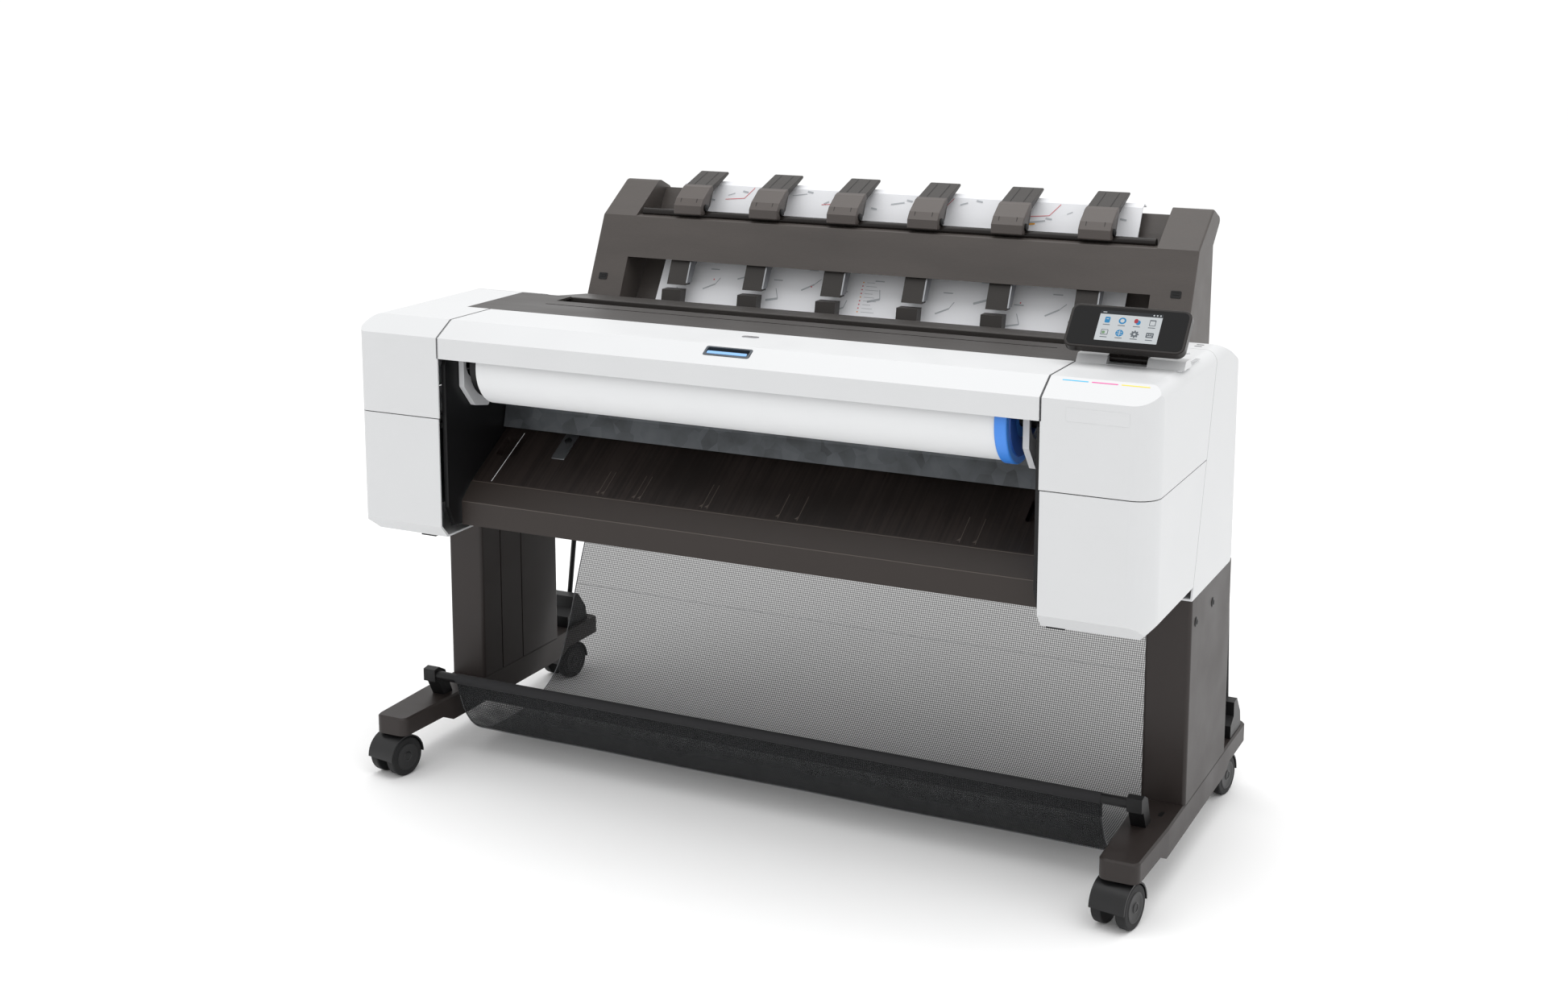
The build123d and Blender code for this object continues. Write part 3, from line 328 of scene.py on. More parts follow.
# Blue polypropylene roll stop: waxy satin with a soft edge highlight.
BLUE_PP = Finish("blue_polypropylene", "#3F86E0", 0.36, grain_mm=1.2, relief_mm=0.02, drift=0.08)
DEEP_BLUE_PP = Finish("deep_blue_polypropylene", "#1F4F9F", 0.4, grain_mm=1.2, relief_mm=0.02, drift=0.08)
# Handle pocket: dark satin insert with a light blue grip strip.
POCKET_GREY = Finish("handle_pocket_plastic", "#3B434B", 0.4, drift=0.08)
GRIP_BLUE = Finish("grip_strip_plastic", "#7FB2E8", 0.35, drift=0.05)
# Powder coat over steel: an orange-peel skin that breaks the highlight into a soft band.
STAND_COAT = Finish("brown_powder_coat", "#2A2422", 0.46, grain_mm=1.8, relief_mm=0.05, drift=0.12,
                    specular=0.35)
BLACK_COAT = Finish("black_powder_coat", "#111112", 0.4, grain_mm=1.2, relief_mm=0.03, drift=0.1,
                    specular=0.3)
# Galvanised sheet: cloudy grey crystals.
GALVANISED = SpangledZinc("galvanised_sheet_steel", "#4E5154", 0.45, metallic=0.55, drift=0.55)
# Ground and plated steels: fine scratches along the part.
GROUND_STEEL = Finish("ground_steel", "#B9BABD", 0.25, metallic=1.0, grain_mm=0.8, relief_mm=0.01,
                      stretch=(12.0, 1.0, 1.0), drift=0.08)
ZINC_PLATE = Finish("zinc_plated_steel", "#9C9EA1", 0.38, metallic=1.0, grain_mm=2.0, relief_mm=0.01,
                    drift=0.12)
# Moulded rubber: dull, with a dusty drift of tone.
ROLLER_RUBBER = Finish("roller_rubber", "#2B2B2D", 0.75, grain_mm=0.8, relief_mm=0.03, drift=0.12)
TYRE_RUBBER = Finish("caster_tyre_rubber", "#171718", 0.6, grain_mm=1.0, relief_mm=0.03, drift=0.15,
                     specular=0.3)
CASTER_NYLON = Finish("caster_nylon", "#1A1A1B", 0.38, grain_mm=0.9, relief_mm=0.01, drift=0.12,
                      specular=0.35)
# Uncoated paper: matt and fibrous.
ROLL_PAPER = Finish("bond_paper_roll", "#DEDFE0", 0.8, grain_mm=1.5, relief_mm=0.01, drift=0.012)
PRINT_PAPER = Finish("printed_bond_paper", "#E0E1E4", 0.75, grain_mm=2.0, relief_mm=0.02, drift=0.015)
BRACKET_WHITE = Finish("bracket_polyacetal", "#D9DADC", 0.4, drift=0.04)
CARTRIDGE = Finish("cartridge_polypropylene", "#2E2E31", 0.4, drift=0.08)
# Knitted polyester net: threads cross on the diagonal, so the light comes through in small diamonds.
NET = Netting("knitted_polyester_net", "#3B3C3D", 0.85, drift=0.1, pitch_mm=5.2, specular=0.1)
# The strip folded back at the front bar: the same net pulled tight, darker partly because two layers lie
# together and partly by painted shade of the band under the bar.
DOUBLED_NET_SHADE = Netting("doubled_net_with_painted_shade", "#2A2B2C", 0.85, drift=0.12, pitch_mm=5.6, open_share=0.42,
                    thread_share=0.84, specular=0.1)
# Woven edge tapes and thread of the basket.
BLACK_TAPE = Finish("black_edge_tape", "#1C1C1E", 0.85, grain_mm=1.4, relief_mm=0.12, drift=0.2)
SEAM_THREAD = Finish("pale_seam_thread", "#F4F5F6", 0.8, grain_mm=1.5, relief_mm=0.1, drift=0.08)
HEM_THREAD = Finish("grey_hem_thread", "#8A8B8D", 0.85, grain_mm=1.4, relief_mm=0.08, drift=0.15)
# Printing inks: thin matt films on the paper, a little glossier on the casing.
GREY_INK = Finish("grey_plan_ink", "#A9ADB1", 0.7, drift=0.1)
RED_INK = Finish("red_plan_ink", "#C8404A", 0.7, drift=0.1)
ORANGE_INK = Finish("orange_plan_ink", "#E4A13C", 0.7, drift=0.1)
CYAN_INK = Finish("cyan_line_ink", "#35B6E6", 0.5, drift=0.04)
MAGENTA_INK = Finish("magenta_line_ink", "#E0459B", 0.5, drift=0.04)
YELLOW_INK = Finish("yellow_line_ink", "#F2D32B", 0.5, drift=0.04)
# Painted shade: the dark edge of an open seam or slot, which no light reaches.
SEAM_SHADOW = Finish("painted_seam_shade", "#3A3A3C", 0.7, drift=0.1)
# Liquid-crystal screen and its keys: their own light, even over the whole sign.
SCREEN = Lit("screen_backlight", "#CDD2D5", 0.3, glow=0.95, specular=0.1)
SCREEN_BAR = Lit("screen_status_bar", "#33373B", 0.3, glow=0.6, specular=0.1)
KEY_BLUE = Lit("screen_key_blue", "#2E8FC7", 0.3, glow=0.85, specular=0.1)
KEY_RED = Lit("screen_key_red", "#B8434F", 0.3, glow=0.85, specular=0.1)
KEY_GREY = Lit("screen_key_grey", "#6D747A", 0.3, glow=0.85, specular=0.1)
KEY_GREEN = Lit("screen_key_green", "#7FA37B", 0.3, glow=0.85, specular=0.1)

SLOT_FINISH: dict[Slot, Finish] = {
    Slot.WHITE_CASING: WHITE_ABS, Slot.TAUPE_CASING: TAUPE_PC, Slot.TRAY_PLASTIC: TRAY_RIBBED,
    Slot.BLACK_PLASTIC: BLACK_ABS, Slot.PANEL_FRAME: BEZEL, Slot.BLUE_PLASTIC: BLUE_PP,
    Slot.CYAN_INSERT: POCKET_GREY, Slot.STAND_PAINT: STAND_COAT, Slot.BLACK_TUBE: BLACK_COAT,
    Slot.GALVANISED_SHEET: GALVANISED, Slot.MACHINED_STEEL: GROUND_STEEL, Slot.ZINC_SHEET: ZINC_PLATE,
    Slot.ROLLER_RUBBER: ROLLER_RUBBER, Slot.CASTER_RUBBER: TYRE_RUBBER, Slot.CASTER_PLASTIC: CASTER_NYLON,
    Slot.ROLL_PAPER: ROLL_PAPER, Slot.PRINT_PAPER: PRINT_PAPER, Slot.MESH_CLOTH: NET,
    Slot.WHITE_BRACKET: BRACKET_WHITE, Slot.CARTRIDGE_PLASTIC: CARTRIDGE,
}

# Matt white backdrop, which gives back the light evenly and no highlight.
PALE_FLOOR = Finish("pale_floor", "#FFFFFF", 0.9, drift=0.002, relief_mm=0.0, specular=0.0)

# Nodes that are moulded in the darker tone of their slot's plastic; on the output ramp, which runs down into
# the output slot, the darker tone is painted shade.
DARK_NODES = ("top_cover", "output_ramp", "lower_arms", *(f"clip_arm_{i}" for i in range(1, 7)))


class Shape:
    """A mesh under construction, in millimetres in the CAD frame."""

    def __init__(self, name: str) -> None:
        """Starts an empty mesh for a piece of that name."""
        self.name = name
        self.bm = bmesh.new()

    def loft(self, rings: Sequence[Sequence[Point]], closed: bool = True, caps: bool = True) -> "Shape":
        """Joins rings of points by quads.

        Args:
            rings: rings with the same number of points each.
            closed: whether each ring's last point joins its first.
            caps: whether the first and last rings are filled.

        Returns:
            The shape, for the next call.
        """
        made = [[self.bm.verts.new(p) for p in ring] for ring in rings]
        count = len(rings[0])
        for low, high in zip(made, made[1:]):
            for i in range(count if closed else count - 1):
                j = (i + 1) % count
                self.bm.faces.new((low[i], low[j], high[j], high[i]))
        if caps and closed:
            self.bm.faces.new(made[0][::-1])
            self.bm.faces.new(made[-1])
        return self

    def prism(self, outline: Sequence[Pair], x_from: float, x_to: float) -> "Shape":
        """Extrudes an outline given in Y and Z along X."""
        return self.loft([[(x, y, z) for y, z in outline] for x in (x_from, x_to)])

    def slab(self, low: Point, high: Point) -> "Shape":
        """Adds a block between two corners."""
        outline = [(low[1], low[2]), (high[1], low[2]), (high[1], high[2]), (low[1], high[2])]
        return self.prism(outline, low[0], high[0])

    def tube(self, path: Sequence[Point], radius: float, sides: int = 20) -> "Shape":
        """Adds a round bar along a path."""
        points = [Vector(p) for p in path]
        rings = []
        for i, p in enumerate(points):
            ahead = (points[min(i + 1, len(points) - 1)] - points[max(i - 1, 0)]).normalized()
            side = ahead.cross(Vector((0.0, 0.0, 1.0)))
            side = side.normalized() if side.length > 0.05 else Vector((0.0, 1.0, 0.0))
            up = side.cross(ahead)
            rings.append([tuple(p + side * radius * math.cos(a) + up * radius * math.sin(a))
                          for a in (2 * math.pi * k / sides for k in range(sides))])
        return self.loft(rings)

    def turned(self, centre: Point, axis: Point, profile: Sequence[Pair], sides: int = 40) -> "Shape":
        """Turns a profile of (distance along the axis, radius) pairs round an axis."""
        ahead = Vector(axis).normalized()
        other = Vector((0.0, 0.0, 1.0)) if abs(ahead.z) < 0.9 else Vector((1.0, 0.0, 0.0))
        side = ahead.cross(other).normalized()
        up = ahead.cross(side)
        rings = []
        for along, radius in profile:
            middle = Vector(centre) + ahead * along
            rings.append([tuple(middle + (side * math.cos(a) + up * math.sin(a)) * max(radius, 0.01))
                          for a in (2 * math.pi * k / sides for k in range(sides))])
        return self.loft(rings)

    def plate(self, face: Matrix, centre: Pair, size: Pair, corner: float, low: float,
              high: float) -> "Shape":
        """Adds a plate with round corners on a face.

        Args:
            face: placement whose X and Y lie in the face and whose Z points out of it.
            centre: centre of the plate in the face.
            size: width and height of the plate.
            corner: corner radius.
            low: height of its back above the face.
            high: height of its front above the face.

        Returns:
            The shape, for the next call.
        """
        half_w, half_h = size[0] / 2, size[1] / 2
        corner = min(corner, half_w, half_h)
        ring = []
        for quarter, (sx, sy) in enumerate(((1, 1), (-1, 1), (-1, -1), (1, -1))):
            for step in range(6):
                a = math.pi / 2 * (quarter + step / 5)
                ring.append((centre[0] + sx * (half_w - corner) + corner * math.cos(a),
                             centre[1] + sy * (half_h - corner) + corner * math.sin(a)))
        return self.loft([[tuple(face @ Vector((x, y, z))) for x, y in ring] for z in (low, high)])

    def stroke(self, points: Sequence[Vector], out: Vector, width: float, lift: float) -> "Shape":
        """Adds a flat printed line along points on a surface that faces out."""
        for a, b in zip(points, points[1:]):
            side = (b - a).cross(out).normalized() * (width / 2)
            base = out * lift
            self.bm.faces.new([self.bm.verts.new(p + base) for p in (a - side, b - side, b + side, a + side)])
        return self

    def done(self, body: str, finish: Finish, slot: Slot, bevel: float = 0.0, smooth: bool = False,
             replaces: Sequence[str] = ()) -> bpy.types.Object:
        """Makes the object.

        Args:
            body: CAD body that the piece moves with.
            finish: finish of its surface.
            slot: record slot that the finish stands for.
            bevel: width of the rounding of its edges, in millimetres.
            smooth: whether its faces are shaded smooth.
            replaces: CAD nodes that it stands for.

        Returns:
            The new object.
        """
        bmesh.ops.transform(self.bm, matrix=Matrix.Scale(MM, 4), verts=self.bm.verts)
        bmesh.ops.recalc_face_normals(self.bm, faces=self.bm.faces)
        data = bpy.data.meshes.new(self.name)
        self.bm.to_mesh(data)
        self.bm.free()
        made = put(self.name, data)
        data.materials.append(finish.material())
        for polygon in data.polygons:
            polygon.use_smooth = smooth
        if bevel:
            rounding = made.modifiers.new("rounding", "BEVEL")
            rounding.width, rounding.segments, rounding.limit_method = bevel * MM, 2, "ANGLE"
            rounding.angle_limit = math.radians(BEVEL_FROM_DEG)
        if smooth:
            data.set_sharp_from_angle(angle=math.radians(SHARP_FROM_DEG))
        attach(made, body)
        if replaces:
            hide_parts(*replaces)
        LOG.info("%s rides on %s", self.name, body)
        return made


def leaning_face(origin: Point, lean: float) -> Matrix:
    """Placement of a face that looks to the front and up.

    Args:
        origin: a point of the face, in millimetres.
        lean: angle of the face from the vertical, in degrees.

    Returns:
        Placement with X to the right, Y up the face and Z out of it.
    """
    a = math.radians(lean)
    up = Vector((0.0, math.sin(a), math.cos(a)))
    out = Vector((0.0, -math.cos(a), math.sin(a)))
    turn = Matrix((Vector((1.0, 0.0, 0.0)), up, out)).transposed().to_4x4()
    return Matrix.Translation(Vector(origin)) @ turn


@dataclass
class Casings:
    """White casings: colour lines, label plate, badge, the painted shade of slots and seams, ribs, screws and
    the handle strip.
    """

    slope_front: Pair = (-380.0, 792.0)
    slope_rear: Pair = (-338.0, 817.0)
    front_y: float = -380.0
    roof_z: float = 817.0
    rear_y: float = 92.0
    line_spans: tuple[Pair, ...] = ((543.0, 582.0), (587.0, 626.0), (631.0, 673.0))
    lid_rear_y: float = -221.0
    lid_bottom_z: float = 757.0
    gap_xs: Pair = (-532.9, 522.9)
    label_at: Pair = (608.0, 771.0)
    label_size: Pair = (94.0, 20.0)
    badge_at: Pair = (-6.0, -262.0)
    badge_size: Pair = (30.0, 13.0)
    foot_spans: tuple[tuple[str, float, float], ...] = (("left", -590.0, -560.0), ("right", 531.0, 560.0))
    rib_count: int = 14
    rib_pitch: float = 8.0
    vent_count: int = 14
    vent_pitch: float = 11.0
    screw_xs: tuple[float, ...] = (-500.0, -250.0, 0.0, 250.0, 500.0)
    screw_head: tuple[Pair, ...] = ((-0.3, 5.0), (1.2, 4.8), (1.9, 3.8), (1.5, 2.0), (1.4, 0.1))

    def build(self) -> None:
        """Builds the printed lines, plates, the painted shade of the slots and the ribs on the casings."""
        lean = math.degrees(math.atan2(self.slope_rear[0] - self.slope_front[0],
                                       self.slope_rear[1] - self.slope_front[1]))
        slope = leaning_face((0.0, *self.slope_rear), lean)
        for (left, right), ink, tint in zip(self.line_spans, (CYAN_INK, MAGENTA_INK, YELLOW_INK),
                                            ("cyan", "magenta", "yellow")):
            Shape(f"colour_line_{tint}").plate(slope, ((left + right) / 2, -7.0), (right - left, 1.8), 0.6,
                                               -0.2, 0.25).done("root", ink, Slot.WHITE_CASING)
        front = leaning_face((0.0, self.front_y, 0.0), 0.0)
        Shape("label_plate").plate(front, self.label_at, self.label_size, 2.0, -0.3, 0.5).done(
            "root", WHITE_ABS, Slot.WHITE_CASING, bevel=0.3)
        roof = Matrix.Translation(Vector((0.0, 0.0, self.roof_z)))
        # Two dark patches on the roof: painted shade of its slots.
        slots = Shape("roof_slot_shade")
        for y in (-24.0, -10.0):
            slots.plate(roof, (658.0, y), (12.0, 4.0), 2.0, -0.3, 0.2)
        slots.done("root", SEAM_SHADOW, Slot.WHITE_CASING)
        ribs = Shape("roof_ribs")
        for step in range(self.rib_count):
            ribs.plate(roof, (684.0, -230.0 + self.rib_pitch * step), (8.0, 3.0), 1.4, -0.4, 1.0)
        ribs.done("root", WHITE_ABS, Slot.WHITE_CASING, bevel=0.4)
        Shape("cover_badge").plate(roof, self.badge_at, self.badge_size, 6.5, -0.3, 0.8).done(
            "roll_cover", GROUND_STEEL, Slot.WHITE_CASING, bevel=0.3)
        Shape("handle_grip_strip").plate(slope, (0.0, -20.0), (70.0, 6.0), 2.0, -1.0, 1.2).done(
            "roll_cover", GRIP_BLUE, Slot.CYAN_INSERT, bevel=0.5)
        self.build_seams()
        self.build_rear()
        for side, left, right in self.foot_spans:
            foot = Shape(f"{side}_door_foot_slot")
            foot.slab((left, -360.0, 441.5), (right, -330.0, 445.5))
            foot.done(f"{side}_ink_door", BLACK_ABS, Slot.BLACK_PLASTIC, bevel=1.0)

    def build_rear(self) -> None:
        """Builds the painted shade of the cooling slots and the screws of the rear cover."""
        turn = Matrix.Rotation(math.pi, 4, "Z") @ leaning_face((0.0, 0.0, 0.0), 0.0)
        face = Matrix.Translation(Vector((0.0, self.rear_y, 0.0))) @ turn
        # Dark patches on the rear cover: painted shade of the cooling slots.
        vents = Shape("rear_cooling_slot_shade")
        for column in range(self.vent_count):
            for level in (505.0, 535.0):
                vents.plate(face, (200.0 + column * self.vent_pitch, level), (5.0, 24.0), 2.5, -0.4, 0.25)
        vents.done("root", SEAM_SHADOW, Slot.WHITE_CASING)
        screws = Shape("rear_cover_screws")
        for x in self.screw_xs:
            for z in (470.0, 700.0):
                screws.turned((x, self.rear_y, z), (0.0, 1.0, 0.0), self.screw_head, 24)
        screws.done("root", ZINC_PLATE, Slot.ZINC_SHEET, smooth=True)

    def build_seams(self) -> None:
        """Builds painted shade along the gap that each housing leaves beside the roll cover."""
        seams = Shape("roll_cover_gap_shade")
        run = [(self.lid_rear_y, self.roof_z), self.slope_rear, self.slope_front,
               (self.front_y, self.lid_bottom_z)]
        for x in self.gap_xs:
            for a, b in zip(run, run[1:]):
                out = Vector((0.0, -(b[1] - a[1]), b[0] - a[0])).normalized()
                out = out if out.z > 0 or out.y < -0.5 else -out
                seams.stroke([Vector((x, *a)), Vector((x, *b))], out, 1.8, 0.25)
        seams.done("root", SEAM_SHADOW, Slot.WHITE_CASING)


@dataclass
class PaperRoll:
    """Roll bay: the wound ends of the roll and the inner ring of the blue stop."""

    centre: Pair = (-295.0, 740.0)
    left_x: float = -468.0
    right_x: float = 446.0
    wound_rings: int = 6
    wound_pitch: float = 4.4
    stop_x: float = 466.0

    def build(self) -> None:
        """Builds the wound ends and the stop's inner ring."""
        ends = Shape("roll_winding_ends")
        for side, x in ((-1, self.left_x), (1, self.right_x)):
            for ring in range(self.wound_rings):
                inner = 40.0 + ring * self.wound_pitch
                profile = ((-0.4, inner), (0.25, inner + 0.3), (0.25, inner + 3.6), (-0.4, inner + 4.0))
                ends.turned((x, *self.centre), (side, 0.0, 0.0), profile, 64)
        ends.done("spindle", ROLL_PAPER, Slot.ROLL_PAPER, smooth=True)
        Shape("stop_inner_ring").turned((self.stop_x, *self.centre), (1.0, 0.0, 0.0),
                                        ((-0.5, 30.0), (1.6, 31.0), (2.0, 58.0), (-0.5, 60.0)), 64).done(
            "spindle", DEEP_BLUE_PP, Slot.BLUE_PLASTIC, smooth=True)


@dataclass
class FrontTray:
    """Print tray: paper guide line, guide marks, the painted highlights on the fold and lip edges, and the
    clamp tab with its screw.
    """

    bed_rear: Pair = (-160.0, 626.0)
    fold: Pair = (-307.0, 533.0)
    lip_top: Pair = (-338.0, 505.0)
    line_x: float = -482.0
    mark_xs: tuple[float, ...] = (-272.0, -262.0, -203.0, -192.0, -76.0, -66.0, 62.0, 96.0, 371.0, 397.0)
    tab_x: float = -384.0
    tab_size: Pair = (26.0, 60.0)
    highlight_xs: Pair = (-518.0, 512.0)

    def on_bed(self, x: float, share: float) -> Vector:
        """Returns the point of the bed at x and that share of the way from its rear edge to the fold."""
        y = self.bed_rear[0] + (self.fold[0] - self.bed_rear[0]) * share
        z = self.bed_rear[1] + (self.fold[1] - self.bed_rear[1]) * share
        return Vector((x, y, z))

    def build(self) -> None:
        """Builds the lines, marks, the painted edge highlights and the tab."""
        along = Vector((0.0, self.fold[0] - self.bed_rear[0], self.fold[1] - self.bed_rear[1])).normalized()
        out = Vector((1.0, 0.0, 0.0)).cross(along).normalized()
        out = out if out.z > 0 else -out
        path = [self.on_bed(self.line_x + 4, 0.3), self.on_bed(self.line_x, 0.98)]
        Shape("tray_guide_line").stroke(path, out, 1.1, 0.35).done("root", SEAM_THREAD, Slot.TRAY_PLASTIC)
        marks = Shape("tray_guide_marks")
        for x in self.mark_xs:
            marks.stroke([self.on_bed(x, 0.66), self.on_bed(x, 0.97)], out, 1.2, 0.3)
            tip = self.on_bed(x, 0.95) + out * 0.3
            corners = (tip, tip + Vector((-6.0, 0.0, 0.0)), tip - along * 7.0)
            marks.bm.faces.new([marks.bm.verts.new(c) for c in corners])
        marks.done("root", MARK_AND_HIGHLIGHT_BROWN, Slot.TRAY_PLASTIC)
        # Light strokes along the fold and the lip top: painted highlights on these edges.
        edges = Shape("tray_painted_edge_highlights")
        for y, z, tip in ((self.fold[0] - 1.2, self.fold[1] - 0.4, Vector((0.0, -0.7, 0.7))),
                          (self.lip_top[0] - 0.3, self.lip_top[1] - 1.0, Vector((0.0, -1.0, 0.0)))):
            edges.stroke([Vector((x, y, z)) for x in self.highlight_xs], tip, 1.3, 0.35)
        edges.done("root", MARK_AND_HIGHLIGHT_BROWN, Slot.TRAY_PLASTIC)
        turn = Matrix((Vector((1.0, 0.0, 0.0)), -along, out)).transposed().to_4x4()
        face = Matrix.Translation(self.on_bed(0.0, 0.42)) @ turn
        Shape("clamp_tab").plate(face, (self.tab_x, 0.0), self.tab_size, 2.0, 0.1, 2.0).done(
            "root", ZINC_PLATE, Slot.ZINC_SHEET, bevel=0.5)
        head = face @ Vector((self.tab_x, 13.0, 2.0))
        profile = ((0.0, 6.6), (2.0, 6.4), (3.0, 4.6), (3.0, 0.1))
        Shape("clamp_tab_screw").turned(tuple(head), tuple(out), profile).done(
            "root", BLACK_ABS, Slot.MACHINED_STEEL, smooth=True)


@dataclass
class Stacker:
    """Top stacker: round bar, clip blocks and flaps, arm edges, latches and the plans on the prints."""

    fold: Pair = (248.0, 928.0)
    half: float = 505.0
    lean: float = 73.0 / 161.0
    clip_xs: tuple[float, ...] = (-400.0, -240.0, -80.0, 80.0, 240.0, 400.0)
    clip_width: float = 56.0
    print_foot: Pair = (216.0, 762.0)
    print_knee: Pair = (322.0, 940.0)
    print_head: Pair = (346.0, 984.0)
    bar: Point = (269.0, 934.0, 8.0)
    block: tuple[Pair, ...] = ((247.0, 936.0), (248.0, 953.0), (258.0, 966.0), (286.0, 985.5), (296.0, 989.0),
                               (300.0, 980.0), (288.0, 968.0), (276.0, 944.0), (262.0, 934.0))
    flap: tuple[Pair, ...] = ((292.0, 986.0), (357.8, 1007.95), (362.4, 1007.95), (366.0, 1004.5),
                              (360.0, 1003.0), (298.0, 979.0))
    plan_columns: int = 13
    plan_pitch: float = 68.0
    legend_rows: int = 9
    roller: tuple[Pair, ...] = ((-1.0, 7.0), (3.0, 7.0), (4.0, 6.0), (4.2, 3.0), (4.8, 2.6), (4.8, 0.1))

    def on_front(self, z: float) -> float:
        """Returns how far back the leaning front lies at height z."""
        return self.fold[0] - (self.fold[1] - z) * self.lean

    def build(self) -> None:
        """Builds the bar, the clips' parts, the arm edges, the latches and the plan lines."""
        y, z, radius = self.bar
        Shape("stacker_round_bar").tube([(-self.half, y, z), (self.half, y, z)], radius, 32).done(
            "root", BEZEL, Slot.TAUPE_CASING, smooth=True)
        for index, x in enumerate(self.clip_xs, 1):
            self.build_clip(index, x)
        self.build_arm_edges()
        self.build_latches()
        self.build_plans()

    def build_clip(self, index: int, x: float) -> None:
        """Builds the front block, the flap's skin, the painted shade of the grooves and the roller of one clip
        arm.
        """
        body = f"clip_arm_{index}"
        half = self.clip_width / 2
        Shape(f"clip_block_{index}").prism(self.block, x - half - 1.5, x + half + 1.5).done(
            body, CLIP_GREY, Slot.TAUPE_CASING, bevel=2.0)
        Shape(f"clip_flap_{index}").prism(self.flap, x - half - 0.8, x + half + 0.8).done(
            body, DARK_TAUPE, Slot.TAUPE_CASING, bevel=1.0)
        # Black strokes along the flap and the nose: painted shade in their grooves.
        lines = Shape(f"clip_groove_shade_{index}")
        flap_run, flap_out = ((300.0, 988.7), (354.0, 1006.7)), Vector((0.0, -0.32, 0.947))
        nose_run, nose_out = ((249.5, 953.0), (257.5, 966.0)), Vector((0.0, -0.82, 0.57))
        for run, out, share, width in ((flap_run, flap_out, 0.22, 1.0), (nose_run, nose_out, 0.3, 0.9)):
            for side in (-1, 1):
                across = x + self.clip_width * side * share
                lines.stroke([Vector((across, *point)) for point in run], out, width, 0.5)
        lines.done(body, BLACK_ABS, Slot.TAUPE_CASING)
        Shape(f"clip_roller_{index}").turned((x + half + 1.0, 266.0, 948.0), (1.0, 0.0, 0.0), self.roller,
                                             28).done(body, BLACK_ABS, Slot.TAUPE_CASING, smooth=True)

    def build_arm_edges(self) -> None:
        """Builds the light edge strips and the bumpers of the six lower arms."""
        edges = Shape("lower_arm_edges")
        pads = Shape("lower_arm_pads")
        for x in self.clip_xs:
            outline = [(self.on_front(812.0) + 6.0, 812.0), (self.on_front(852.0) + 6.0, 852.0),
                       (self.on_front(852.0) + 30.0, 852.0), (self.on_front(812.0) + 24.0, 812.0)]
            edges.prism(outline, x + 20.3, x + 23.5)
            for z in (816.0, 834.0):
                bump = [(self.on_front(z) + 26.0, z), (self.on_front(z) + 31.0, z + 3.0),
                        (self.on_front(z) + 33.0, z + 9.0), (self.on_front(z) + 30.0, z + 14.0)]
                pads.prism(bump, x - 12.0, x + 12.0)
        edges.done("root", ZINC_PLATE, Slot.TAUPE_CASING, bevel=0.8)
        pads.done("root", BLACK_ABS, Slot.TAUPE_CASING, bevel=1.0)

    def build_latches(self) -> None:
        """Builds the latch marks on the front of both cheeks."""
        latches = Shape("cheek_latches")
        lean = math.degrees(math.atan(self.lean))
        for x, z in ((-557.0, 815.0), (556.0, 856.0)):
            face = leaning_face((0.0, self.on_front(z), z), lean)
            latches.plate(face, (x, 0.0), (18.0, 13.0), 2.0, -0.5, 1.2)
            latches.plate(face, (x, 0.0), (12.0, 2.0), 1.0, 1.2, 2.0)
            latches.plate(face, (x, 4.0), (12.0, 2.0), 1.0, 1.2, 2.0)
        latches.done("root", BLACK_ABS, Slot.TAUPE_CASING, bevel=0.3)

    def on_print(self, x: float, share: float, lower: bool) -> Vector:
        """Returns a point on the front of the prints, on their lower run or on their head."""
        a, b = (self.print_foot, self.print_knee) if lower else (self.print_knee, self.print_head)
        return Vector((x, a[0] + (b[0] - a[0]) * share, a[1] + (b[1] - a[1]) * share))

    def build_plans(self) -> None:
        """Draws a generic street plan in three inks on what shows of the prints."""
        out = Vector((0.0, -(self.print_knee[1] - self.print_foot[1]),
                      self.print_knee[0] - self.print_foot[0])).normalized()
        grey, red, orange = Shape("plan_lines_grey"), Shape("plan_lines_red"), Shape("plan_lines_orange")

        def draw(pen: Shape, lower: bool, run: Sequence[Pair], width: float, lift: float) -> None:
            """Draws one line through places given across the prints and up them."""
            pen.stroke([self.on_print(across, share, lower) for across, share in run], out, width, lift)

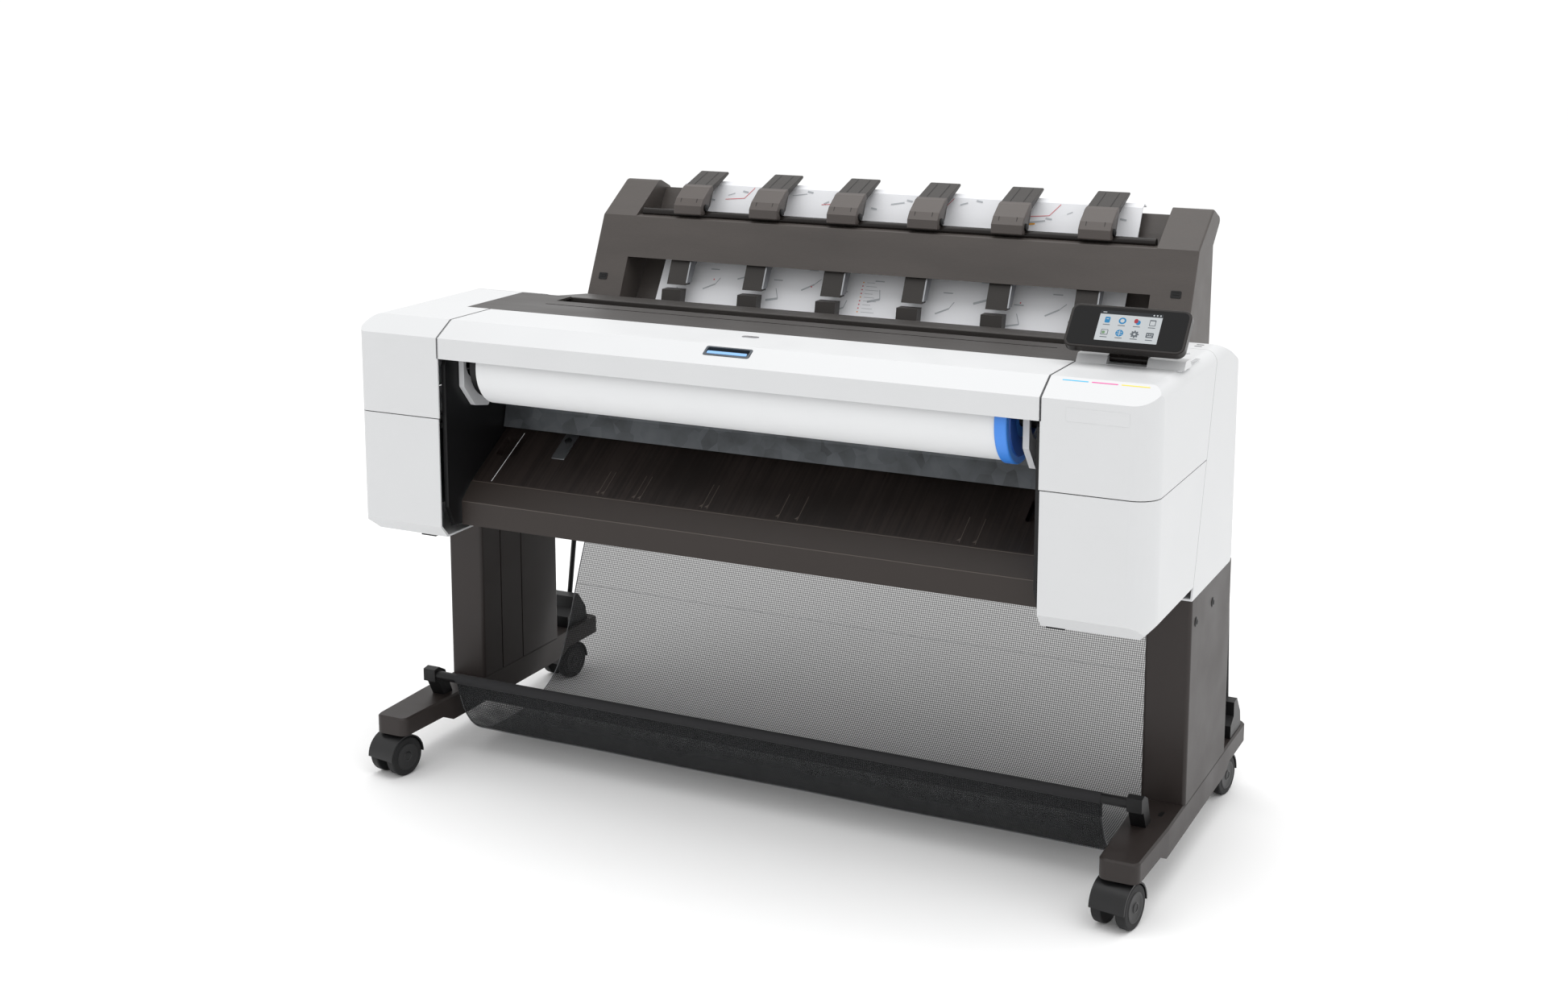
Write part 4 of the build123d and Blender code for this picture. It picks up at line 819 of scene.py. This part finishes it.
        for k in range(self.plan_columns):
            x = -430.0 + k * self.plan_pitch
            low = 0.08 + 0.06 * ((k * 7) % 5)
            turn = ((k * 5) % 7 - 3) * 4.0
            corner = (x + 24.0, low + 0.04 + turn * 0.002)
            draw(grey, True, [(x, low), corner], 3.0 if k % 3 else 4.2, 0.5)
            draw(grey, True, [corner, (x + 24.0 + turn, low + 0.12)], 1.6, 0.5)
            draw(grey, True, [(x + 8.0, low + 0.2), (x + 26.0, low + 0.2)], 2.2, 0.5)
            head = 0.2 + 0.13 * ((k * 3) % 5)
            draw(grey, False, [(x + 4.0, head), (x + 26.0 - turn, head + 0.1)], 1.4 if k % 2 else 2.6, 0.6)
            draw(grey, False, [(x + 34.0, head + 0.2), (x + 46.0, head + 0.16)], 3.2, 0.6)
            if k % 3 == 1:
                draw(red, False, [(x, 0.42), (x + 40.0, 0.5), (x + 58.0, 0.95)], 1.1, 0.7)
                draw(red, True, [(x + 18.0, 0.3), (x + 20.5, 0.3)], 2.5, 0.7)
            if k == 10:
                draw(orange, False, [(x, 0.12), (x + 16.0, 0.16)], 3.0, 0.7)
        for row in range(self.legend_rows):
            level = 0.1 + row * 0.035
            draw(grey, True, [(-30.0, level), (-4.0 - (row % 3) * 5.0, level)], 0.9, 0.5)
            draw(red if row % 4 else orange, True, [(-38.0, level), (-35.5, level)], 2.2, 0.5)
        for shape, ink in ((grey, GREY_INK), (red, RED_INK), (orange, ORANGE_INK)):
            shape.done("root", ink, Slot.PRINT_PAPER)


@dataclass
class TouchPanel:
    """Touch panel: cover glass, backlit screen, status bar and eight keys without lettering."""

    centre: Point = (602.0, -224.0, 874.0)
    lean: float = 43.4
    glass: Pair = (176.0, 69.0)
    screen: Pair = (95.0, 53.4)
    screen_at: Pair = (1.5, 2.0)
    key_pitch: Pair = (23.0, 22.0)

    def build(self) -> None:
        """Builds the layers of the panel from the glass up."""
        face = leaning_face(self.centre, self.lean)
        sx, sy = self.screen_at
        Shape("panel_cover_glass").plate(face, (0.0, 0.0), self.glass, 9.0, -0.4, 0.35).done(
            "display", COVER_GLASS, Slot.PANEL_FRAME)
        Shape("panel_screen").plate(face, (sx, sy), self.screen, 0.8, 0.3, 0.5).done(
            "display", SCREEN, Slot.PANEL_FRAME)
        bar_y = sy + self.screen[1] / 2 - 3.2
        Shape("panel_status_bar").plate(face, (sx, bar_y), (self.screen[0], 6.4), 0.6, 0.45, 0.62).done(
            "display", SCREEN_BAR, Slot.PANEL_FRAME)
        marks = Shape("panel_status_marks")
        for x in (34.0, 39.0, 44.0):
            marks.plate(face, (sx + x, bar_y), (2.6, 2.6), 1.3, 0.6, 0.7)
        marks.plate(face, (sx - 41.0, bar_y), (6.0, 1.2), 0.6, 0.6, 0.7)
        marks.done("display", SCREEN, Slot.PANEL_FRAME)
        self.build_keys(face)

    def build_keys(self, face: Matrix) -> None:
        """Builds two rows of four keys, each a small sign with a short bar under it."""
        shapes = {KEY_BLUE: Shape("panel_keys_blue"), KEY_RED: Shape("panel_keys_red"),
                  KEY_GREY: Shape("panel_keys_grey"), KEY_GREEN: Shape("panel_keys_green")}
        light = Shape("panel_key_details")
        rows = (("tank", "ring", "drop", "sheet"), ("tools", "globe", "gear", "board"))
        for row, names in enumerate(rows):
            for column, name in enumerate(names):
                x = self.screen_at[0] + (column - 1.5) * self.key_pitch[0]
                y = self.screen_at[1] + 10.0 - row * self.key_pitch[1]
                self.draw_key(name, face, (x, y), shapes, light)
                shapes[KEY_GREY].plate(face, (x, y - 8.6), (11.0, 1.3), 0.6, 0.45, 0.66)
        for finish, shape in shapes.items():
            shape.done("display", finish, Slot.PANEL_FRAME)
        light.done("display", SCREEN, Slot.PANEL_FRAME)

    def draw_key(self, name: str, face: Matrix, at: Pair, shapes: dict[Finish, Shape],
                 light: Shape) -> None:
        """Draws one key's sign.

        Args:
            name: name of the sign.
            face: placement of the screen's face.
            at: centre of the key in the face.
            shapes: shapes of the coloured signs by their finish.
            light: shape of the light details over them.
        """
        low, high, top = 0.45, 0.68, 0.76
        blue, red, grey, green = (shapes[finish] for finish in (KEY_BLUE, KEY_RED, KEY_GREY, KEY_GREEN))
        turns = [math.pi / 4 * tooth for tooth in range(8)]
        signs = {
            "tank": [(blue, 0.0, 0.0, 8.0, 10.5, 1.6, low, high), (light, 0.0, 1.6, 4.0, 1.2, 0.5, high, top)],
            "ring": [(blue, 0.0, 0.0, 11.5, 11.5, 5.7, low, high), (light, 0.0, 0.0, 6.6, 6.6, 3.3, high, top)],
            "drop": [(blue, 1.2, -1.2, 7.2, 8.2, 3.5, low, high), (red, -2.2, 1.2, 6.0, 8.0, 3.0, 0.66, 0.74)],
            "sheet": [(grey, 0.0, 0.0, 9.6, 10.8, 1.0, low, high),
                      (light, 0.0, -0.6, 7.4, 7.6, 0.6, high, top)],
            "tools": [(grey, 0.0, 0.0, 11.0, 9.6, 1.2, low, high), (light, 0.0, 0.0, 9.0, 7.4, 0.8, high, 0.74),
                      (green, -1.5, -0.5, 4.6, 4.6, 1.0, 0.72, 0.8)],
            "globe": [(blue, 0.0, 0.0, 12.0, 12.0, 6.0, low, high), (light, 0.0, 1.8, 8.6, 0.9, 0.4, high, top),
                      (light, 0.0, -1.8, 8.6, 0.9, 0.4, high, top),
                      (light, 0.0, 0.0, 0.9, 10.0, 0.4, high, top)],
            "gear": [*((grey, 5.2 * math.cos(a), 5.2 * math.sin(a), 2.6, 2.6, 0.7, low, 0.66) for a in turns),
                     (grey, 0.0, 0.0, 9.6, 9.6, 4.8, low, high), (light, 0.0, 0.0, 3.8, 3.8, 1.9, high, top)],
            "board": [(grey, 0.0, 0.0, 11.6, 9.0, 1.2, low, high),
                      *((light, 3.2 * step, 1.2, 1.8, 1.6, 0.4, high, top) for step in (-1, 0, 1)),
                      (light, 0.0, -2.0, 7.0, 1.2, 0.4, high, top)],
        }
        for pen, right, up, width, height, corner, back, front in signs[name]:
            pen.plate(face, (at[0] + right, at[1] + up), (width, height), corner, back, front)


@dataclass
class Stand:
    """Stand: screws in the legs and the painted shade of the slots in the feet."""

    leg_out_x: float = 692.0
    screws: tuple[Pair, ...] = ((-10.0, 402.0), (-112.0, 400.0))
    screw_head: tuple[Pair, ...] = ((0.0, 4.8), (5.0, 4.8), (5.2, 8.4), (6.2, 7.4), (6.6, 5.0), (5.4, 3.2),
                                    (5.2, 0.1))
    foot_top_z: float = 108.0

    def build(self) -> None:
        """Builds the screws and the painted shade of the slots."""
        heads = Shape("leg_screws")
        for side in (-1, 1):
            for y, z in self.screws:
                heads.turned((side * (self.leg_out_x - 5.0), y, z), (side, 0.0, 0.0), self.screw_head, 28)
        heads.done("root", BLACK_ABS, Slot.STAND_PAINT, smooth=True)
        # Dark plates on the foot tops: painted shade of the slots.
        slots = Shape("foot_slot_shade")
        face = Matrix.Translation(Vector((0.0, 0.0, self.foot_top_z)))
        for side in (-1, 1):
            slots.plate(face, (side * 667.0, -186.0), (7.0, 18.0), 3.0, -0.4, 0.3)
        slots.done("root", BLACK_ABS, Slot.STAND_PAINT)


@dataclass
class Casters:
    """Twin-wheel casters: hub caps on the outer faces of the wheels."""

    stem_x: float = 656.0
    front_y: float = -336.0
    rear_y: float = 215.0
    trail: float = 23.0
    yaw: float = -10.0
    wheel_radius: float = 34.5
    wheel_width: float = 17.0
    spacing: float = 40.0
    cap: tuple[Pair, ...] = ((-1.0, 24.0), (0.5, 23.6), (0.9, 22.0), (0.2, 19.0), (0.3, 9.0), (1.2, 8.0),
                             (1.4, 6.4), (0.6, 5.6), (0.6, 0.1))

    def build(self) -> None:
        """Builds two hub caps for each caster."""
        turn = math.radians(self.yaw)
        axle = Vector((math.cos(turn), math.sin(turn), 0.0))
        for side, side_name in ((-1, "left"), (1, "right")):
            for y, end in ((self.front_y, "front"), (self.rear_y, "rear")):
                body = f"{end}_{side_name}_wheels"
                centre = Vector((side * self.stem_x + math.sin(turn) * self.trail,
                                 y - math.cos(turn) * self.trail, self.wheel_radius))
                caps = Shape(f"{end}_{side_name}_hub_caps")
                for face in (-1, 1):
                    outer = centre + axle * face * (self.spacing / 2 + self.wheel_width / 2)
                    caps.turned(tuple(outer), tuple(axle * face), self.cap, 48)
                caps.done(body, CASTER_NYLON, Slot.CASTER_PLASTIC, smooth=True)


@dataclass
class Basket:
    """Sling basket: a net hung between the front bar and the rear bar, with its tapes and seam."""

    route: tuple[Pair, ...] = ((-262.0, 142.5), (-248.0, 89.5), (-208.0, 39.5), (-150.0, 21.5), (-20.0, 23.5),
                               (56.0, 53.5), (98.0, 113.5), (170.0, 291.5), (242.0, 422.5))
    half_width: float = 594.0
    columns: int = 60
    seam_share: float = 0.72
    fold_mm: float = 150.0
    line: list[Vector] = field(default_factory=list)

    def smooth_line(self) -> list[Vector]:
        """Returns points along a rounded run through the route, in Y and Z."""
        points = [Vector((0.0, y, z)) for y, z in self.route]
        for _ in range(3):
            cut = [points[0]]
            for a, b in zip(points, points[1:]):
                cut += [a.lerp(b, 0.25), a.lerp(b, 0.75)]
            points = [*cut, points[-1]]
        return points

    def length(self) -> float:
        """Returns the length of the net from bar to bar, in millimetres."""
        return sum((b - a).length for a, b in zip(self.line, self.line[1:]))

    def at(self, x: float, index: int, share: float) -> Vector:
        """Returns a point of the net, with the slack that hangs between its sides."""
        p = self.line[index]
        edge = 1.0 - (x / self.half_width) ** 2
        slack = math.sin(math.pi * share) * edge
        ripple = 0.8 * math.sin(x / 61.0 + 5.0 * share) * math.sin(math.pi * share)
        return Vector((x, p.y + ripple, p.z - 1.6 * slack + 0.6 * ripple))

    def weave(self, name: str, rows: Sequence[Sequence[Vector]], xs: Sequence[float],
              runs: Sequence[float]) -> Shape:
        """Builds a cloth with its map in metres.

        Args:
            name: name of the piece.
            rows: rows of points across the cloth.
            xs: places of the columns across the net.
            runs: run of the net's line at each row.

        Returns:
            The cloth.
        """
        cloth = Shape(name)
        uv = cloth.bm.loops.layers.uv.new("weave")
        grid = [[cloth.bm.verts.new(point) for point in row] for row in rows]
        for j in range(len(rows) - 1):
            for i in range(self.columns):
                corners = ((i, j), (i + 1, j), (i + 1, j + 1), (i, j + 1))
                loops = cloth.bm.faces.new([grid[row][column] for column, row in corners]).loops
                for loop, (column, row) in zip(loops, corners):
                    loop[uv].uv = (xs[column] * MM, runs[row] * MM)
        return cloth

    def build(self) -> None:
        """Builds the net, its strip, hems, seam and sleeve."""
        self.line = self.smooth_line()
        total = self.length()
        runs = [0.0]
        for a, b in zip(self.line, self.line[1:]):
            runs.append(runs[-1] + (b - a).length)
        xs = [-self.half_width + 2 * self.half_width * i / self.columns for i in range(self.columns + 1)]
        rows = [[self.at(x, j, run / total) for x in xs] for j, run in enumerate(runs)]
        cloth = self.weave("basket_net", rows, xs, runs).done(
            "root", NET, Slot.MESH_CLOTH, smooth=True, replaces=["basket_mesh"])
        strip, strip_length = self.build_fold(xs, runs)
        tapes = Shape("basket_edge_hems")
        for side in (-1, 1):
            x = side * (self.half_width - 1.0)
            rings = []
            for j in range(len(self.line)):
                p = self.at(x, j, runs[j] / total)
                rings.append([(x - 1.0, p.y - 0.5, p.z - 0.5), (x + 1.0, p.y - 0.5, p.z - 0.5),
                              (x + 1.0, p.y + 0.5, p.z + 0.5), (x - 1.0, p.y + 0.5, p.z + 0.5)])
            tapes.loft(rings)
        hems = tapes.done("root", HEM_THREAD, Slot.MESH_CLOTH)
        index = min(range(len(runs)), key=lambda j: abs(runs[j] / total - self.seam_share))
        seam_line = [tuple(self.at(x, index, runs[index] / total) + Vector((0.0, -1.0, 0.7))) for x in xs]
        seam = Shape("basket_seam").tube(seam_line, 0.5, 6).done("root", SEAM_THREAD, Slot.MESH_CLOTH)
        sleeve = Shape("basket_front_sleeve").tube([(-self.half_width, -262.0, 150.0),
                                                    (self.half_width, -262.0, 150.0)], 8.9, 24)
        sleeve.prism([(-264.5, 146.0), (-257.0, 118.0), (-256.2, 118.4), (-259.0, 146.0)],
                     -self.half_width, self.half_width)
        sleeve = sleeve.done("root", BLACK_TAPE, Slot.MESH_CLOTH, smooth=True)

    def build_fold(self, xs: Sequence[float], runs: Sequence[float]) -> tuple[bpy.types.Object, float]:
        """Builds the strip of net that is folded back from the front bar over the front of the basket; its
        darker threads are partly painted shade.

        Args:
            xs: places of the columns across the net.
            runs: run of the net's line at each row.

        Returns:
            The strip and its length, in millimetres.
        """
        last = max(j for j, run in enumerate(runs) if run <= self.fold_mm)
        rows = []
        for j in range(last + 1):
            p, q = self.line[max(j - 1, 0)], self.line[min(j + 1, len(self.line) - 1)]
            out = Vector((0.0, (q - p).z, -(q - p).y)).normalized() * 1.6
            rows.append([self.at(x, j, runs[j] / runs[-1]) + out for x in xs])
        strip = self.weave("basket_folded_strip", rows, xs, runs)
        return strip.done("root", DOUBLED_NET_SHADE, Slot.MESH_CLOTH, smooth=True), runs[last]


@dataclass
class Studio:
    """Pale floor, soft lights and the camera."""

    camera_at: Point = (1.44227, -3.10002, 1.41104)
    azimuth: float = 26.07
    elevation: float = 9.66
    lens: float = 46.47
    lower: float = -0.12
    sensor: float = 36.0
    floor_half: float = 60.0
    surround: float = 1.02
    boxes: tuple[tuple[str, Point, float, float], ...] = (("top_box", (0.2, 0.0, 4.2), 4.4, 84.0),
                                                          ("right_box", (4.2, -0.6, 2.6), 2.4, 6.0))

    def build(self) -> None:
        """Builds the floor, the light and the camera."""
        self.build_floor()
        self.build_lights()
        self.build_camera()

    def build_floor(self) -> None:
        """Lays a wide matt floor under the casters."""
        data = bpy.data.meshes.new("studio_floor")
        bm = bmesh.new()
        bmesh.ops.create_grid(bm, x_segments=8, y_segments=8, size=self.floor_half)
        bm.to_mesh(data)
        bm.free()
        floor = put("studio_floor", data)
        data.materials.append(PALE_FLOOR.material())

    def build_lights(self) -> None:
        """Hangs a large soft box overhead and a weaker one on the right, in an even pale surround."""
        world = bpy.data.worlds.new("studio_surround")
        bpy.context.scene.world = world
        world.use_nodes = True
        back = world.node_tree.nodes["Background"]
        back.inputs["Color"].default_value = linear("#FFFFFF")
        back.inputs["Strength"].default_value = self.surround
        for name, place, size, power in self.boxes:
            light = bpy.data.lights.new(name, "AREA")
            light.energy, light.size = power, size
            aim(put(name, light), place, Vector((0.0, 0.0, 0.5)) - Vector(place))

    def build_camera(self) -> None:
        """Sets the camera in front and to the right, with its frame shifted to keep upright edges upright."""
        data = bpy.data.cameras.new("camera")
        data.lens, data.sensor_width, data.shift_y = self.lens, self.sensor, self.lower
        data.clip_start, data.clip_end = 0.05, 200.0
        camera = put("camera", data)
        a, e = math.radians(self.azimuth), math.radians(self.elevation)
        ahead = Vector((-math.sin(a) * math.cos(e), math.cos(a) * math.cos(e), -math.sin(e)))
        aim(camera, self.camera_at, ahead)
        bpy.context.scene.camera = camera
        bpy.context.scene.view_settings.view_transform = "Standard"


def dress_cad() -> None:
    """Gives every CAD node the finish of its slot."""
    for row in frame["record"]["subparts"]:
        node = frame["nodes"][row["node"]]
        finish = DARK_TAUPE if row["node"] in DARK_NODES else SLOT_FINISH[Slot(row["material_slot"])]
        node.data.materials.clear()
        node.data.materials.append(finish.material())
        LOG.info("%s in %s", row["node"], finish.name)


def main() -> None:
    """Builds the sub-assemblies in order."""
    logging.basicConfig(level=logging.INFO, format="%(name)s: %(message)s")
    dress_cad()
    for part in (Casings(), PaperRoll(), FrontTray(), Stacker(), TouchPanel(), Stand(), Casters(), Basket(),
                 Studio()):
        part.build()


if __name__ == "__main__":
    main()
